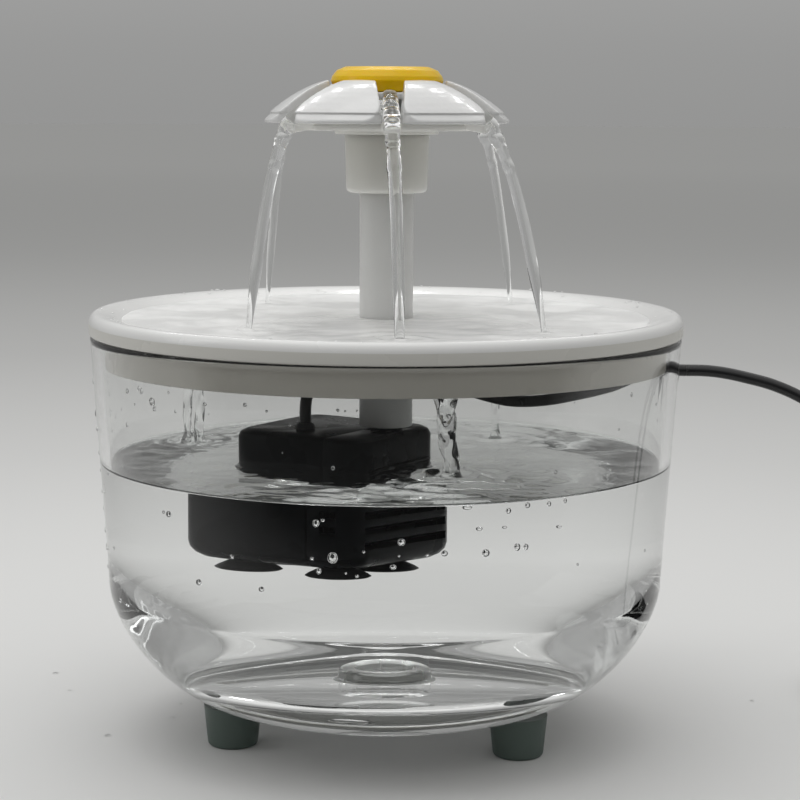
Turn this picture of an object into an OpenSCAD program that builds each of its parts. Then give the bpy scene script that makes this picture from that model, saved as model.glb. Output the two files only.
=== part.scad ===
// Pet water fountain: a clear round tank on three feet, a dish lid with a riser tube,
// a flower spout that lifts off, and a submersible pump that hangs on the tube.
// Millimetres, +Z up, front is -Y, origin at the middle of the feet's contact plane.

/* [Tank] */
// Outer radius of the tank at its rim
tank_rim_r = 89.7; // [82:0.1:98]
// How much narrower the tank is where the wall meets the rounded bottom
tank_taper = 5; // [3:0.1:8]
// Height of the tank from its underside to its rim
tank_h = 111.5; // [105:0.5:125]
// Height of the rounded bottom, from the underside to the shoulder
tank_corner_h = 35; // [28:0.5:42]
// Distance from the shoulder in to the flat underside
tank_corner_w = 31.7; // [26:0.1:34]
// Bulge of the rounded bottom, where 2 is a quarter of an ellipse
tank_bulge = 1.55; // [1.4:0.05:2.4]
// Thickness of the tank wall
tank_wall = 3; // [2:0.1:4]
// Thickness of the tank floor
tank_floor_t = 3; // [2.4:0.1:5]
// Outer radius of the ring boss on the tank floor
floor_boss_r = 10.5; // [8:0.5:14]
// Height of the ring boss
floor_boss_h = 2.6; // [1:0.1:4]

/* [Feet] */
// Height of each foot, which lifts the tank's underside off the table
foot_h = 12.5; // [8:0.5:20]
// Radius of a foot at its top
foot_top_r = 8.75; // [7:0.05:10]
// Radius of a foot at its sole
foot_sole_r = 7.6; // [6:0.05:8.5]
// Distance of each foot's axis from the middle
foot_pitch_r = 50; // [40:0.5:50]
// Bearing of the first foot, turned from straight ahead towards the right
foot_bearing = 53.1; // [40:0.1:70]
// Radius of the locating pin on a foot
foot_pin_r = 3; // [2:0.1:4]
// Length of the locating pin
foot_pin_l = 1.2; // [0.8:0.1:1.6]

/* [Lid] */
// How far the lid's edge stands out past the tank's rim
lid_overhang = 0.3; // [0.1:0.05:3]
// Height of the lid's straight edge
lid_edge_h = 3; // [2:0.1:4]
// Height of the lid's crest above its straight edge
lid_crest_h = 3.3; // [2:0.1:5]
// Distance of the crest from the lid's edge
lid_crest_in = 4; // [3:0.1:6]
// Distance over which the dish falls from the crest
lid_fall = 10; // [6:0.5:16]
// Thickness of the dish
dish_t = 2.6; // [1.8:0.1:4]
// How far the dish's top lies above the flange's underside at the middle
dish_rise = 3.2; // [2.8:0.1:4]
// Space between the skirt and the tank's wall
skirt_clear = 0.9; // [0.5:0.1:2]
// Thickness of the skirt
skirt_t = 2.2; // [1.6:0.1:3]
// Depth of the skirt below the flange
skirt_h = 9.2; // [9:0.1:9.5]
// Radius of the ring of drain holes
drain_pitch_r = 54; // [30:0.5:55]
// Radius of a drain hole
drain_r = 1.6; // [1:0.1:2.4]
// Number of drain holes
drain_count = 12; // [6:1:18]

/* [Riser tube] */
// Outer radius of the riser tube
tube_r = 8.15; // [7.5:0.05:8.5]
// Thickness of the tube wall
tube_wall = 1.8; // [1.4:0.1:2]
// Height of the tube above the lid's flange
tube_above = 57; // [50:0.5:65]
// Length of the tube below the lid's flange
tube_below = 28.8; // [25:0.1:32]
// Radius of the flange that seats the tube under the dish
tube_flange_r = 11.5; // [10.5:0.1:12]

/* [Filter] */
// Outer radius of the filter basket
basket_r = 60; // [57.5:0.5:70]
// Thickness of the basket
basket_t = 1.6; // [1.2:0.1:2]
// Number of slots in each ring of the basket's floor
basket_slots = 18; // [10:1:22]
// Thickness of the foam pad
pad_t = 6.8; // [5:0.1:7]

/* [Flower] */
// Outer radius of the adaptor under the flower
adaptor_r = 12.7; // [11.5:0.1:14]
// Height of the adaptor
adaptor_h = 17.5; // [12:0.5:22]
// How far the tube reaches into the adaptor
tube_grip = 14.8; // [8:0.1:16]
// Radius of the basin's hub
hub_r = 15.7; // [14.5:0.1:18]
// Radius of the basin's plate
basin_r = 27.4; // [24:0.1:29]
// Thickness of the hub below the plate
hub_t = 1.2; // [0.8:0.1:2]
// Thickness of the plate
basin_t = 2.2; // [1.6:0.1:3]
// Number of petals, and of the spouts between them
petal_count = 6; // [5:1:7]
// Radius of the flower at the tips of its petals
petal_tip_r = 37.8; // [35:0.1:42]
// Width of the slot between two petals, at the petals' lower edge
petal_gap = 5.6; // [4.5:0.1:8]
// Draught of a petal's side walls, narrower at the top by this on each side
petal_draught = 1.5; // [0.5:0.1:2.5]
// Thickness of a petal's shell
petal_t = 1.8; // [1.2:0.1:2.4]
// Height from the petals' lower edge to the inner end of their crown
petal_rise = 12.9; // [10:0.1:15]
// Fall of the crown from its inner end to the petals' tips along a straight line
petal_fall = 4.6; // [4:0.1:6]
// Further fall at the petals' tips from the crown's bow
petal_bow = 7.4; // [5:0.1:7.8]
// Turn of the flower on the tube, towards the right
flower_turn = 2.5; // [0:0.5:5]
// Reach of a spout lip from the flower's axis
spout_reach = 34; // [31:0.5:36]
// Width of a spout lip
spout_w = 5; // [3.5:0.1:5.2]
// Outer radius of the yellow centre
centre_r = 17; // [15.5:0.1:18]
// Height of the yellow centre
centre_h = 7.4; // [6:0.1:10]
// Radius of the centre's flat top
centre_flat_r = 12.5; // [10:0.1:14]

/* [Pump] */
// Length of the pump along its shaft
pump_l = 48.5; // [46:0.5:54]
// Width of the pump across its shaft
pump_w = 44; // [40:0.5:48]
// Height of the pump's body
pump_h = 35.2; // [34.6:0.1:38]
// Radius of the pump's upright corners
pump_corner_r = 7; // [6:0.5:12]
// Radius of the rounding along the pump's lower edge
pump_foot_round = 5; // [3:0.5:5.5]
// Width of the bevel along the pump's upper edge
pump_bevel = 2.2; // [1:0.1:2.5]
// Turn of the pump's shaft from straight right towards the front
pump_turn = 33; // [0:1:60]
// Thickness of the pump's shell
pump_wall = 2.2; // [1.8:0.1:2.4]
// Depth of the intake cover along the shaft
cover_l = 14; // [13:0.1:15]
// Height of the shaft above the pump's underside
shaft_h = 15.4; // [15:0.1:17]
// Radius of the ceramic shaft
shaft_r = 1; // [0.8:0.05:1.3]
// Radius of the rotor magnet
rotor_r = 6.2; // [5:0.1:6.4]
// Length of the rotor magnet
rotor_l = 17; // [12:0.5:18]
// Radius of the impeller
impeller_r = 8.8; // [7.5:0.1:9.2]
// Number of impeller blades
blade_count = 6; // [4:1:8]
// Outer radius of the outlet nozzle
nozzle_r = 6.25; // [5.8:0.01:6.3]
// How far the nozzle reaches into the riser tube
nozzle_grip = 12; // [8:0.5:15]
// Number of louvres in the intake cover
louvre_count = 5; // [3:1:6]
// Height of a louvre's opening
louvre_h = 2; // [1.2:0.1:2.4]
// Radius of a suction cup
cup_r = 7.85; // [6:0.05:9]
// Distance between the cups along the shaft
cup_pitch = 24; // [22:0.5:26]
// Distance between the cups across the shaft
cup_spread = 20; // [18:0.5:26]
// Height of a suction cup below the pump
cup_h = 3.4; // [2.5:0.1:5]

/* [Cord] */
// Diameter of the cord
cord_d = 3.6; // [3:0.1:4]
// Height of the cord's middle in the notch, below the tank's rim
notch_drop = 11.5; // [10:0.5:14]
// Mean radius of the stored coil
coil_r = 20; // [18:0.5:21]
// Thickness of the coil's bundle of turns
coil_bundle = 11.5; // [10:0.1:13]
// Width of the plug's metal shell
plug_shell_w = 12; // [11:0.1:13]
// Thickness of the plug's metal shell
plug_shell_t = 4.5; // [4:0.1:5]
// Length of the plug's metal shell
plug_shell_l = 18; // [14:0.5:19]
// Length of the plug's moulded body
plug_body_l = 22; // [18:0.5:24]
// How far the moulded body stands out round the shell
plug_body_rim = 1.8; // [1:0.1:2.2]
// Length of the tapered relief where the cord enters the plug
plug_relief_l = 9; // [8:0.5:14]

/* [Fits] */
// Gap under what is only laid on
seat_gap = 0.2; // [0.1:0.05:0.3]
// Radial clearance of a push fit
push_fit = 0.05; // [0.02:0.01:0.1]
// Radial clearance of a running fit
running_fit = 0.06; // [0.02:0.01:0.1]
// Clearance between pieces that slide past each other
slide_gap = 0.3; // [0.2:0.05:0.5]

/* [Hidden] */
e = 0.01;          // overlap of a cut past the face it opens
fine = 96;         // facets asked of large round shapes
small = 48;        // facets asked of small round shapes

// Radii of the tank and of the lid on it
tank_shoulder_r = tank_rim_r - tank_taper;
tank_flat_r = tank_shoulder_r - tank_corner_w;
lid_r = tank_rim_r + lid_overhang;
skirt_r = tank_rim_r - tank_wall - tank_taper * skirt_h / (tank_h - tank_corner_h) - skirt_clear;

// Levels, from the table upwards
rim_z = foot_h + tank_h;
shoulder_z = foot_h + tank_corner_h;
floor_z = foot_h + tank_floor_t;
flange_z = rim_z + seat_gap;
dish_z = flange_z + dish_rise;
dish_under_z = dish_z - dish_t;
skirt_z = flange_z - skirt_h;
basket_z = skirt_z + 0.4;
tube_top_z = flange_z + tube_above;
tube_end_z = flange_z - tube_below;
adaptor_z = tube_top_z - tube_grip;
adaptor_top_z = adaptor_z + adaptor_h;
plate_z = adaptor_top_z + hub_t;
basin_z = plate_z + basin_t;
petal_z = basin_z;
petal_crown_z = petal_z + petal_rise;
web_top_z = petal_crown_z - 3.8;         // the web that joins the petals and carries the centre
collar_h = 1.2;                          // the tube's end stands this far off the pump
pump_z = tube_end_z - collar_h - pump_h;

// ---------------------------------------------------------------- tank and feet

corner_steps = 14;
function bottom_curve(inset, lift) = [for (i = [0:corner_steps])
    let (a = 90 * i / corner_steps,
        reach = tank_corner_w - inset,
        rise = tank_corner_h - lift)
    [tank_flat_r + reach * pow(sin(a), 2 / tank_bulge),
        shoulder_z - rise * pow(cos(a), 2 / tank_bulge)]];

lip_round = 0.8;
module tank_form() {
    rotate_extrude($fn = fine)
        polygon(concat(
            [[0, foot_h]], bottom_curve(0, 0),
            [[tank_rim_r, rim_z - lip_round], [tank_rim_r - lip_round, rim_z]],
            [[0, rim_z]]));
}
module tank_hollow() {
    rotate_extrude($fn = fine)
        polygon(concat(
            [[0, floor_z]], bottom_curve(tank_wall, tank_floor_t),
            [[tank_rim_r - tank_wall, rim_z + e], [0, rim_z + e]]));
}
notch_slack = 0.5;
notch_r = cord_d / 2 + notch_slack;
module cable_notch() {
    depth = 4 * tank_wall;
    translate([tank_rim_r - depth / 2, 0, rim_z - notch_drop])
        rotate([0, 90, 0]) cylinder(r = notch_r, h = depth, center = true, $fn = small);
    translate([tank_rim_r - depth, -notch_r, rim_z - notch_drop])
        cube([depth * 2, 2 * notch_r, rim_z]);
}
foot_bearings = [foot_bearing - 120, foot_bearing, foot_bearing + 120];
module at_foot(bearing) {
    rotate([0, 0, bearing - 90]) translate([foot_pitch_r, 0, 0]) children();
}
module tank() {
    pad_h = tank_floor_t * 0.6;
    boss_bore_r = 0.6 * floor_boss_r;
    color([0.86, 0.9, 0.9, 0.35]) difference() {
        union() {
            difference() {
                tank_form();
                tank_hollow();
            }
            for (b = foot_bearings)
                at_foot(b) translate([0, 0, foot_h])
                    cylinder(r = foot_top_r, h = pad_h, $fn = small);
            translate([0, 0, floor_z - e]) difference() {
                cylinder(r = floor_boss_r, h = floor_boss_h + e, $fn = small);
                translate([0, 0, 1])
                    cylinder(r = boss_bore_r, h = floor_boss_h, $fn = small);
            }
        }
        for (b = foot_bearings)
            at_foot(b) translate([0, 0, foot_h - e])
                cylinder(r = foot_pin_r + push_fit, h = foot_pin_l + slide_gap, $fn = small);
        cable_notch();
    }
}
module foot(bearing) {
    edge = 1.3;
    steps = 5;
    color([0.22, 0.27, 0.25]) at_foot(bearing) rotate_extrude($fn = small)
        polygon(concat(
            [[0, 0]],
            [for (i = [0:steps]) let (a = 90 * i / steps)
                [foot_sole_r - edge + edge * sin(a), edge - edge * cos(a)]],
            [[foot_top_r, foot_h], [foot_pin_r, foot_h], [foot_pin_r, foot_h + foot_pin_l],
                [0, foot_h + foot_pin_l]]));
}
module front_left_foot() { foot(foot_bearings[0]); }
module front_right_foot() { foot(foot_bearings[1]); }
module rear_foot() { foot(foot_bearings[2]); }

// ---------------------------------------------------------------- lid

rim_steps = 8;
crest_r = lid_r - lid_crest_in;
crest_z = flange_z + lid_edge_h + lid_crest_h;
module lid_tray() {
    rib_t = 1.5;
    rib_h = 3.6;
    rib_r = basket_r + slide_gap;
    outer_edge = [for (i = [0:rim_steps]) let (a = 90 * i / rim_steps)
        [crest_r + lid_crest_in * cos(a), flange_z + lid_edge_h + lid_crest_h * sin(a)]];
    inner_fall = [for (i = [1:rim_steps]) let (t = i / rim_steps)
        [crest_r - lid_fall * t, dish_z + (crest_z - dish_z) * (1 + cos(180 * t)) / 2]];
    color([0.93, 0.93, 0.91]) difference() {
        union() {
            rotate_extrude($fn = fine)
                polygon(concat(
                    [[tube_r + push_fit, dish_under_z], [skirt_r - skirt_t, dish_under_z],
                        [skirt_r - skirt_t, skirt_z], [skirt_r, skirt_z],
                        [skirt_r, flange_z], [lid_r, flange_z]],
                    outer_edge, inner_fall, [[tube_r + push_fit, dish_z]]));
            rotate_extrude($fn = fine)
                translate([rib_r, dish_under_z - rib_h]) square([rib_t, rib_h + e]);
        }
        for (i = [0:drain_count - 1])
            rotate([0, 0, (i + 0.5) * 360 / drain_count])
                translate([drain_pitch_r, 0, dish_under_z - 1])
                    cylinder(r = drain_r, h = dish_t + 2, $fn = small);
    }
}
module riser_tube() {
    flange_t = 2;
    bore_r = tube_r - tube_wall;
    chamfer = 0.6;
    color([0.9, 0.9, 0.88]) rotate_extrude($fn = fine)
        polygon([[bore_r, tube_end_z], [tube_r, tube_end_z],
            [tube_r, dish_under_z - flange_t], [tube_flange_r, dish_under_z - flange_t],
            [tube_flange_r, dish_under_z], [tube_r, dish_under_z],
            [tube_r, tube_top_z - chamfer], [tube_r - chamfer, tube_top_z],
            [bore_r, tube_top_z]]);
}
basket_bore_r = tube_flange_r + 0.5;
module filter_basket() {
    slot_w = 2.2;
    collar_t = 1.2;
    rings = [[basket_bore_r + collar_t + 2, 0.46 * basket_r],
        [0.52 * basket_r, basket_r - basket_t - 3]];
    color([0.88, 0.89, 0.88]) difference() {
        rotate_extrude($fn = fine)
            polygon([[basket_bore_r, basket_z], [basket_r, basket_z],
                [basket_r, dish_under_z], [basket_r - basket_t, dish_under_z],
                [basket_r - basket_t, basket_z + basket_t],
                [basket_bore_r + collar_t, basket_z + basket_t],
                [basket_bore_r + collar_t, dish_under_z - 2.4],
                [basket_bore_r, dish_under_z - 2.4]]);
        for (ring = rings, i = [0:basket_slots - 1])
            rotate([0, 0, i * 360 / basket_slots])
                translate([ring[0], -slot_w / 2, basket_z - 1])
                    cube([ring[1] - ring[0], slot_w, basket_t + 2]);
    }
}
module filter_pad() {
    pad_in = basket_bore_r + 2;
    pad_out = basket_r - basket_t - 0.6;
    color([0.2, 0.22, 0.22]) translate([0, 0, basket_z + basket_t])
        difference() {
            cylinder(r = pad_out, h = pad_t, $fn = fine);
            translate([0, 0, -1]) cylinder(r = pad_in, h = pad_t + 2, $fn = small);
        }
}

// ---------------------------------------------------------------- flower

water_way_r = tube_r - tube_wall;
module tube_adaptor() {
    round_r = 1.6;
    steps = 5;
    taper = 0.45;
    socket_r = tube_r + push_fit;
    stop_z = tube_top_z + seat_gap;
    color([0.8, 0.8, 0.76]) rotate_extrude($fn = fine)
        polygon(concat(
            [[socket_r, adaptor_z]],
            [for (i = [0:steps]) let (a = 90 * i / steps)
                [adaptor_r - taper - round_r + round_r * sin(a),
                    adaptor_z + round_r - round_r * cos(a)]],
            [[adaptor_r, adaptor_top_z], [water_way_r, adaptor_top_z],
                [water_way_r, stop_z], [socket_r, stop_z]]));
}
module flower_basin() {
    lip_t = 1.4;
    lip_drop = 1.6;
    lip_wall = 0.9;
    lip_start = basin_r - 2;
    slope = atan(lip_drop / (spout_reach - lip_start));
    color([0.84, 0.84, 0.8]) union() {
        rotate_extrude($fn = fine)
            polygon([[water_way_r, adaptor_top_z], [hub_r, adaptor_top_z], [hub_r, plate_z],
                [basin_r - 0.6, plate_z], [basin_r, plate_z + 0.6], [basin_r, basin_z],
                [water_way_r, basin_z]]);
        for (i = [0:petal_count - 1])
            rotate([0, 0, i * 360 / petal_count - 90 + flower_turn])
                translate([lip_start, 0, basin_z]) rotate([0, slope, 0])
                    difference() {
                        translate([0, -spout_w / 2, -lip_t])
                            cube([spout_reach - lip_start, spout_w, lip_t + 1.2]);
                        translate([-1, -spout_w / 2 + lip_wall, 0])
                            cube([spout_reach, spout_w - 2 * lip_wall, 4]);
                    }
    }
}

// The crown's height falls from the middle outwards, a little faster with each millimetre
crown_in_r = centre_r + slide_gap;
function crown_z(r) = let (t = (r - crown_in_r) / (petal_tip_r - crown_in_r))
    petal_crown_z - petal_fall * t - petal_bow * t * t;
crown_steps = 9;
module crown_form(drop, top_r, foot_z) {
    rotate_extrude($fn = fine)
        polygon(concat(
            [[crown_in_r - 4, foot_z], [top_r, foot_z]],
            [for (i = [crown_steps:-1:0]) let (r = crown_in_r + (top_r - crown_in_r) * i / crown_steps)
                [r, crown_z(r) - drop]],
            [[crown_in_r - 4, crown_z(crown_in_r) - drop]]));
}
// One petal seen from above, pointing along +X: straight sides along the slots, a round tip
petal_half = 180 / petal_count;
petal_tip_round = 5;
module petal_outline(inset, in_r) {
    side = petal_gap / 2 + inset;
    reach = petal_tip_r - inset;
    corner = petal_tip_round - inset / 2;
    corner_x = sqrt(pow(reach - corner, 2) - pow(side + corner, 2));
    root_x = sqrt(in_r * in_r - side * side);
    arc_half = petal_half - asin((side + corner) / (reach - corner));
    steps = 6;
    function along(side_sign, x, y) = [
        x * cos(petal_half) + y * sin(petal_half),
        side_sign * (x * sin(petal_half) - y * cos(petal_half))];
    function corner_arc(s) = [for (i = [0:steps])
        let (a = -90 + i * (90 + asin((side + corner) / (reach - corner))) / steps)
        along(s, corner_x + corner * sin(a + 90), side + corner - corner * cos(a + 90))];
    tip = [for (i = [1:steps - 1]) let (a = -arc_half + 2 * arc_half * i / steps)
        [reach * cos(a), reach * sin(a)]];
    upper = corner_arc(1);
    lower = corner_arc(-1);
    polygon(concat(
        [along(-1, root_x, side)], lower, tip,
        [for (i = [steps:-1:0]) upper[i]],
        [along(1, root_x, side)]));
}
module petal_prism(inset, in_r, foot_z, height) {
    middle = (in_r + petal_tip_r) / 2;
    shrink = 1 - petal_draught / (petal_tip_r - middle);
    translate([middle, 0, foot_z]) linear_extrude(height = height, scale = shrink)
        translate([-middle, 0]) petal_outline(inset, in_r);
}
module flower_petals() {
    web_t = 2;
    web_r = crown_in_r + 0.8;
    web_bore_r = 7;
    shell_h = petal_rise + 2;
    color([0.95, 0.95, 0.94]) union() {
        for (i = [0:petal_count - 1])
            rotate([0, 0, (i + 0.5) * 360 / petal_count - 90 + flower_turn]) difference() {
                intersection() {
                    crown_form(0, petal_tip_r + 1, petal_z);
                    petal_prism(0, crown_in_r, petal_z, shell_h);
                }
                intersection() {
                    crown_form(petal_t, petal_tip_r + 1, petal_z - 1);
                    petal_prism(petal_t, crown_in_r + petal_t, petal_z - e, shell_h);
                }
            }
        translate([0, 0, web_top_z - web_t]) difference() {
            cylinder(r = web_r, h = web_t, $fn = small);
            translate([0, 0, -1]) cylinder(r = web_bore_r, h = web_t + 2, $fn = small);
        }
    }
}
centre_z = web_top_z + seat_gap;
module flower_centre() {
    wall = 1.6;
    steps = 7;
    shoulder_h = 4.2;
    spigot_r = 7 - slide_gap;
    spigot_l = 2.4;
    top_z = centre_z + centre_h;
    skirt_in = 1.4;
    color([0.93, 0.72, 0.1]) rotate_extrude($fn = fine)
        polygon(concat(
            [[0, top_z - 0.5], [centre_flat_r - 2, top_z - 0.5], [centre_flat_r - 0.8, top_z]],
            [for (i = [0:steps]) let (a = 90 * i / steps)
                [centre_flat_r + (centre_r - centre_flat_r) * sin(a),
                    top_z - shoulder_h * (1 - cos(a))]],
            [[centre_r - skirt_in, centre_z], [centre_r - skirt_in - wall, centre_z],
                [centre_r - wall - 0.6, top_z - shoulder_h],
                [centre_flat_r - wall, top_z - wall - 0.6],
                [spigot_r, top_z - wall - 0.6], [spigot_r, centre_z - spigot_l],
                [spigot_r - wall, centre_z - spigot_l], [spigot_r - wall, top_z - wall - 0.6],
                [0, top_z - wall - 0.6]]));
}

// ---------------------------------------------------------------- pump

nozzle_bore_r = nozzle_r - 1.2;
split_x = pump_l / 2 - cover_l;          // where the intake cover meets the housing
neck_r = 4.8;                            // radius of the outlet's neck inside the intake cover
nozzle_x = split_x + neck_r + 0.2;       // the nozzle's axis, along the shaft from the pump's middle
nozzle_y = 5.3;                          // and across it, as the outlet leaves the volute at its side
// The pump's own frame: +X along the shaft towards the intake, its underside at z = 0
module in_pump() {
    rotate([0, 0, -pump_turn]) translate([-nozzle_x, -nozzle_y, pump_z]) children();
}
module rounded_rect(l, w, r) {
    square([l - 2 * r, w], center = true);
    square([l, w - 2 * r], center = true);
    for (x = [-1, 1], y = [-1, 1])
        translate([x * (l / 2 - r), y * (w / 2 - r)]) circle(r = r, $fn = 32);
}
// A solid through rings of points, every ring with as many points as the first
module loft(rings) {
    n = len(rings);
    m = len(rings[0]);
    polyhedron(
        points = [for (ring = rings) each ring],
        faces = concat(
            [[for (k = [0:m - 1]) k]],
            [for (i = [0:n - 2], k = [0:m - 1], half = [0, 1]) let (
                a = i * m + k,
                b = i * m + (k + 1) % m)
                half == 0 ? [a, a + m, b + m] : [a, b + m, b]],
            [[for (k = [m - 1:-1:0]) (n - 1) * m + k]]),
        convexity = 6);
}
corner_points = 6;
function rounded_ring(l, w, r, z) = [for (q = [0:3], i = [0:corner_points]) let (
    a = 90 * q + 90 * i / corner_points,
    cx = (q == 0 || q == 3 ? 1 : -1) * (l / 2 - r),
    cy = (q < 2 ? 1 : -1) * (w / 2 - r))
    [cx + r * cos(a), cy + r * sin(a), z]];
foot_steps = 4;
function pump_levels() = concat(
    [for (i = [0:foot_steps]) let (a = 90 * i / foot_steps)
        [pump_foot_round * (1 - cos(a)), pump_foot_round * (1 - sin(a))]],
    [[pump_h - pump_bevel, 0], [pump_h - 0.35 * pump_bevel, 0.3 * pump_bevel], [pump_h, pump_bevel]]);
// The pump's outer form: upright rounded corners, a rounded lower edge and a bevel round the top
module pump_form() {
    loft([for (level = pump_levels())
        rounded_ring(pump_l - 2 * level[1], pump_w - 2 * level[1],
            pump_corner_r - 0.5 * level[1], level[0])]);
}
base_t = 2.8;                            // the plate under the housing that carries the cups
base_x = pump_l / 2 - 3;
well_r = rotor_r + 0.8;
well_end_x = -11.3;
volute_r = impeller_r + 3;
module along_shaft(x) {
    translate([x, 0, shaft_h]) rotate([0, 90, 0]) children();
}
module shell_hollow(from_x, to_x) {
    inside = pump_corner_r - pump_wall;
    translate([0, 0, base_t]) linear_extrude(height = pump_h - pump_wall - base_t) intersection() {
        rounded_rect(pump_l - 2 * pump_wall, pump_w - 2 * pump_wall, inside);
        translate([from_x, -pump_w]) square([to_x - from_x, 2 * pump_w]);
    }
}
window_half_w = pump_w / 2 - pump_corner_r;
window_low = pump_foot_round + 2;
window_h = pump_h - 2 * window_low + 2;
module pump_housing() {
    well_wall = 1.2;
    stem_hole_r = 2 + push_fit;
    socket_r = gland_r - gland_step + push_fit;
    color([0.07, 0.08, 0.09]) in_pump() difference() {
        union() {
            difference() {
                pump_form();
                translate([split_x, -pump_w, -1]) cube([pump_l, 2 * pump_w, pump_h + 2]);
                difference() {
                    shell_hollow(-pump_l, split_x - pump_wall);
                    along_shaft(well_end_x - well_wall)
                        cylinder(r = well_r + well_wall, h = pump_l, $fn = small);
                }
            }
            intersection() {
                pump_form();
                translate([split_x - 1, -pump_w, 0]) cube([base_x - split_x + 1, 2 * pump_w, base_t]);
            }
        }
        along_shaft(well_end_x) cylinder(r = well_r, h = pump_l, $fn = small);
        along_shaft(rear_bush_x) cylinder(r = bush_r, h = 2, $fn = small);
        along_shaft(split_x - seal_t) cylinder(r = seal_r + push_fit, h = 1 + seal_t, $fn = small);
        for (x = [-1, 1], y = [-1, 1])
            translate([x * cup_pitch / 2, y * cup_spread / 2, -1])
                cylinder(r = stem_hole_r, h = 1 + stem_l + 0.1, $fn = small);
        translate([gland_x, gland_y, pump_h - pump_wall - 1])
            cylinder(r = socket_r, h = pump_wall + 2, $fn = small);
        translate([-pump_l / 2 - 1, -window_half_w, window_low])
            cube([pump_wall + 2, 2 * window_half_w, window_h]);
    }
}
core_l = 9;
core_x = -2.3;
coil_bar_z = 28.4;
coil_bar_t = 2.4;
module stator_core() {
    half_w = pump_w / 2 - 5.5;
    low_z = 5;
    window_half = 8.8;
    window_z = 24.8;
    color([0.45, 0.46, 0.48]) in_pump() translate([core_x - core_l / 2, 0, 0]) rotate([90, 0, 90])
        linear_extrude(height = core_l) difference() {
            translate([-half_w, low_z]) square([2 * half_w, coil_bar_z + coil_bar_t - low_z]);
            translate([0, shaft_h]) circle(r = well_r + 1.2 + slide_gap, $fn = small);
            translate([-window_half, window_z]) square([2 * window_half, coil_bar_z - window_z]);
            translate([-1, 0]) square([2, shaft_h]);
        }
}
module stator_coil() {
    half_w = 8.4;
    side = 1.7;
    below = 2.6;
    above = 1.3;
    color([0.62, 0.33, 0.16]) in_pump() difference() {
        translate([core_x - core_l / 2 - side, -half_w, coil_bar_z - below])
            cube([core_l + 2 * side, 2 * half_w, coil_bar_t + below + above]);
        translate([core_x - core_l / 2, -half_w - 1, coil_bar_z])
            cube([core_l, 2 * half_w + 2, coil_bar_t]);
    }
}
module motor_potting() {
    slab_t = 3;
    recess = 0.9;
    gap = 0.1;
    inner_x = -pump_l / 2 + pump_wall;
    color([0.1, 0.1, 0.11]) in_pump() {
        translate([gap, 0, gap / 2]) intersection() {
            shell_hollow(-pump_l, inner_x + slab_t);
            translate([-pump_l, -pump_w / 2 + pump_wall + gap, 0])
                cube([pump_l, pump_w - 2 * (pump_wall + gap), pump_h - pump_wall - gap]);
        }
        translate([-pump_l / 2 + recess, -window_half_w + gap, window_low + gap])
            cube([slab_t, 2 * (window_half_w - gap), window_h - 2 * gap]);
    }
}
bush_r = 2.6;
bush_l = 2;
spider_x = pump_l / 2 - 4.4;             // front face of the volute, where the spider holds the shaft
front_bush_x = spider_x - 0.5 - bush_l;
rear_bush_x = well_end_x - 0.8;
shaft_from = rear_bush_x + 0.1;
shaft_to = front_bush_x + bush_l - 0.1;
module impeller_shaft() {
    color([0.92, 0.92, 0.9]) in_pump() along_shaft(shaft_from)
        cylinder(r = shaft_r, h = shaft_to - shaft_from, $fn = small);
}
module bush(x) {
    in_pump() along_shaft(x) difference() {
        cylinder(r = bush_r - push_fit, h = bush_l, $fn = small);
        translate([0, 0, -1]) cylinder(r = shaft_r + push_fit, h = bush_l + 2, $fn = small);
    }
}
module shaft_bushes() {
    color([0.15, 0.15, 0.16]) {
        bush(rear_bush_x);
        bush(front_bush_x);
    }
}
module volute() {
    front_t = 1.6;
    inner_r = impeller_r + 1.2;
    eye_r = 5;
    arm_w = 1.4;
    flange_t = 1.8;
    flange_w = 28;
    nozzle_top = tube_end_z + nozzle_grip - pump_z;
    step_z = tube_end_z - seat_gap - pump_z;
    spider_hub_r = bush_r + 1.2;
    neck_wall = 0.9;
    inlet_rise = impeller_r - 5;
    color([0.1, 0.11, 0.12]) in_pump() difference() {
        union() {
            along_shaft(split_x) cylinder(r = volute_r, h = spider_x - split_x, $fn = small);
            translate([split_x, -flange_w / 2, base_t + 0.1])
                cube([flange_t, flange_w, pump_h - base_t - pump_wall - 1]);
            translate([nozzle_x, nozzle_y, shaft_h])
                cylinder(r = neck_r, h = step_z - shaft_h, $fn = small);
            translate([nozzle_x, nozzle_y, step_z - e])
                cylinder(r = nozzle_r, h = nozzle_top - step_z + e, $fn = small);
        }
        along_shaft(split_x - 1)
            cylinder(r = inner_r, h = spider_x - front_t - split_x + 1, $fn = small);
        difference() {
            along_shaft(spider_x - 3) cylinder(r = eye_r, h = 5, $fn = small);
            along_shaft(front_bush_x) cylinder(r = spider_hub_r, h = 4, $fn = small);
            for (a = [90, 210, 330])
                along_shaft(spider_x - front_t) rotate([0, 0, a])
                    translate([0, -arm_w / 2, 0]) cube([eye_r + 1, arm_w, front_t]);
        }
        along_shaft(front_bush_x - 1) cylinder(r = bush_r, h = bush_l + 1, $fn = small);
        translate([nozzle_x, nozzle_y, shaft_h + inlet_rise])
            cylinder(r = neck_r - neck_wall, h = pump_h, $fn = small);
        translate([nozzle_x, nozzle_y, step_z + neck_wall])
            cylinder(r = nozzle_bore_r, h = nozzle_grip + 2, $fn = small);
    }
}
seal_r = well_r + 3.4;
seal_t = 0.8;
module volute_seal() {
    color([0.25, 0.25, 0.26]) in_pump() along_shaft(split_x - seal_t) difference() {
        cylinder(r = seal_r, h = seal_t, $fn = small);
        translate([0, 0, -1]) cylinder(r = well_r, h = seal_t + 2, $fn = small);
    }
}
gland_x = -4.3;                          // from the pump's middle, along the shaft
gland_y = -9.8;                          // and across it
gland_r = 2.9;
gland_step = 0.5;
gland_out = 2;
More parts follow.
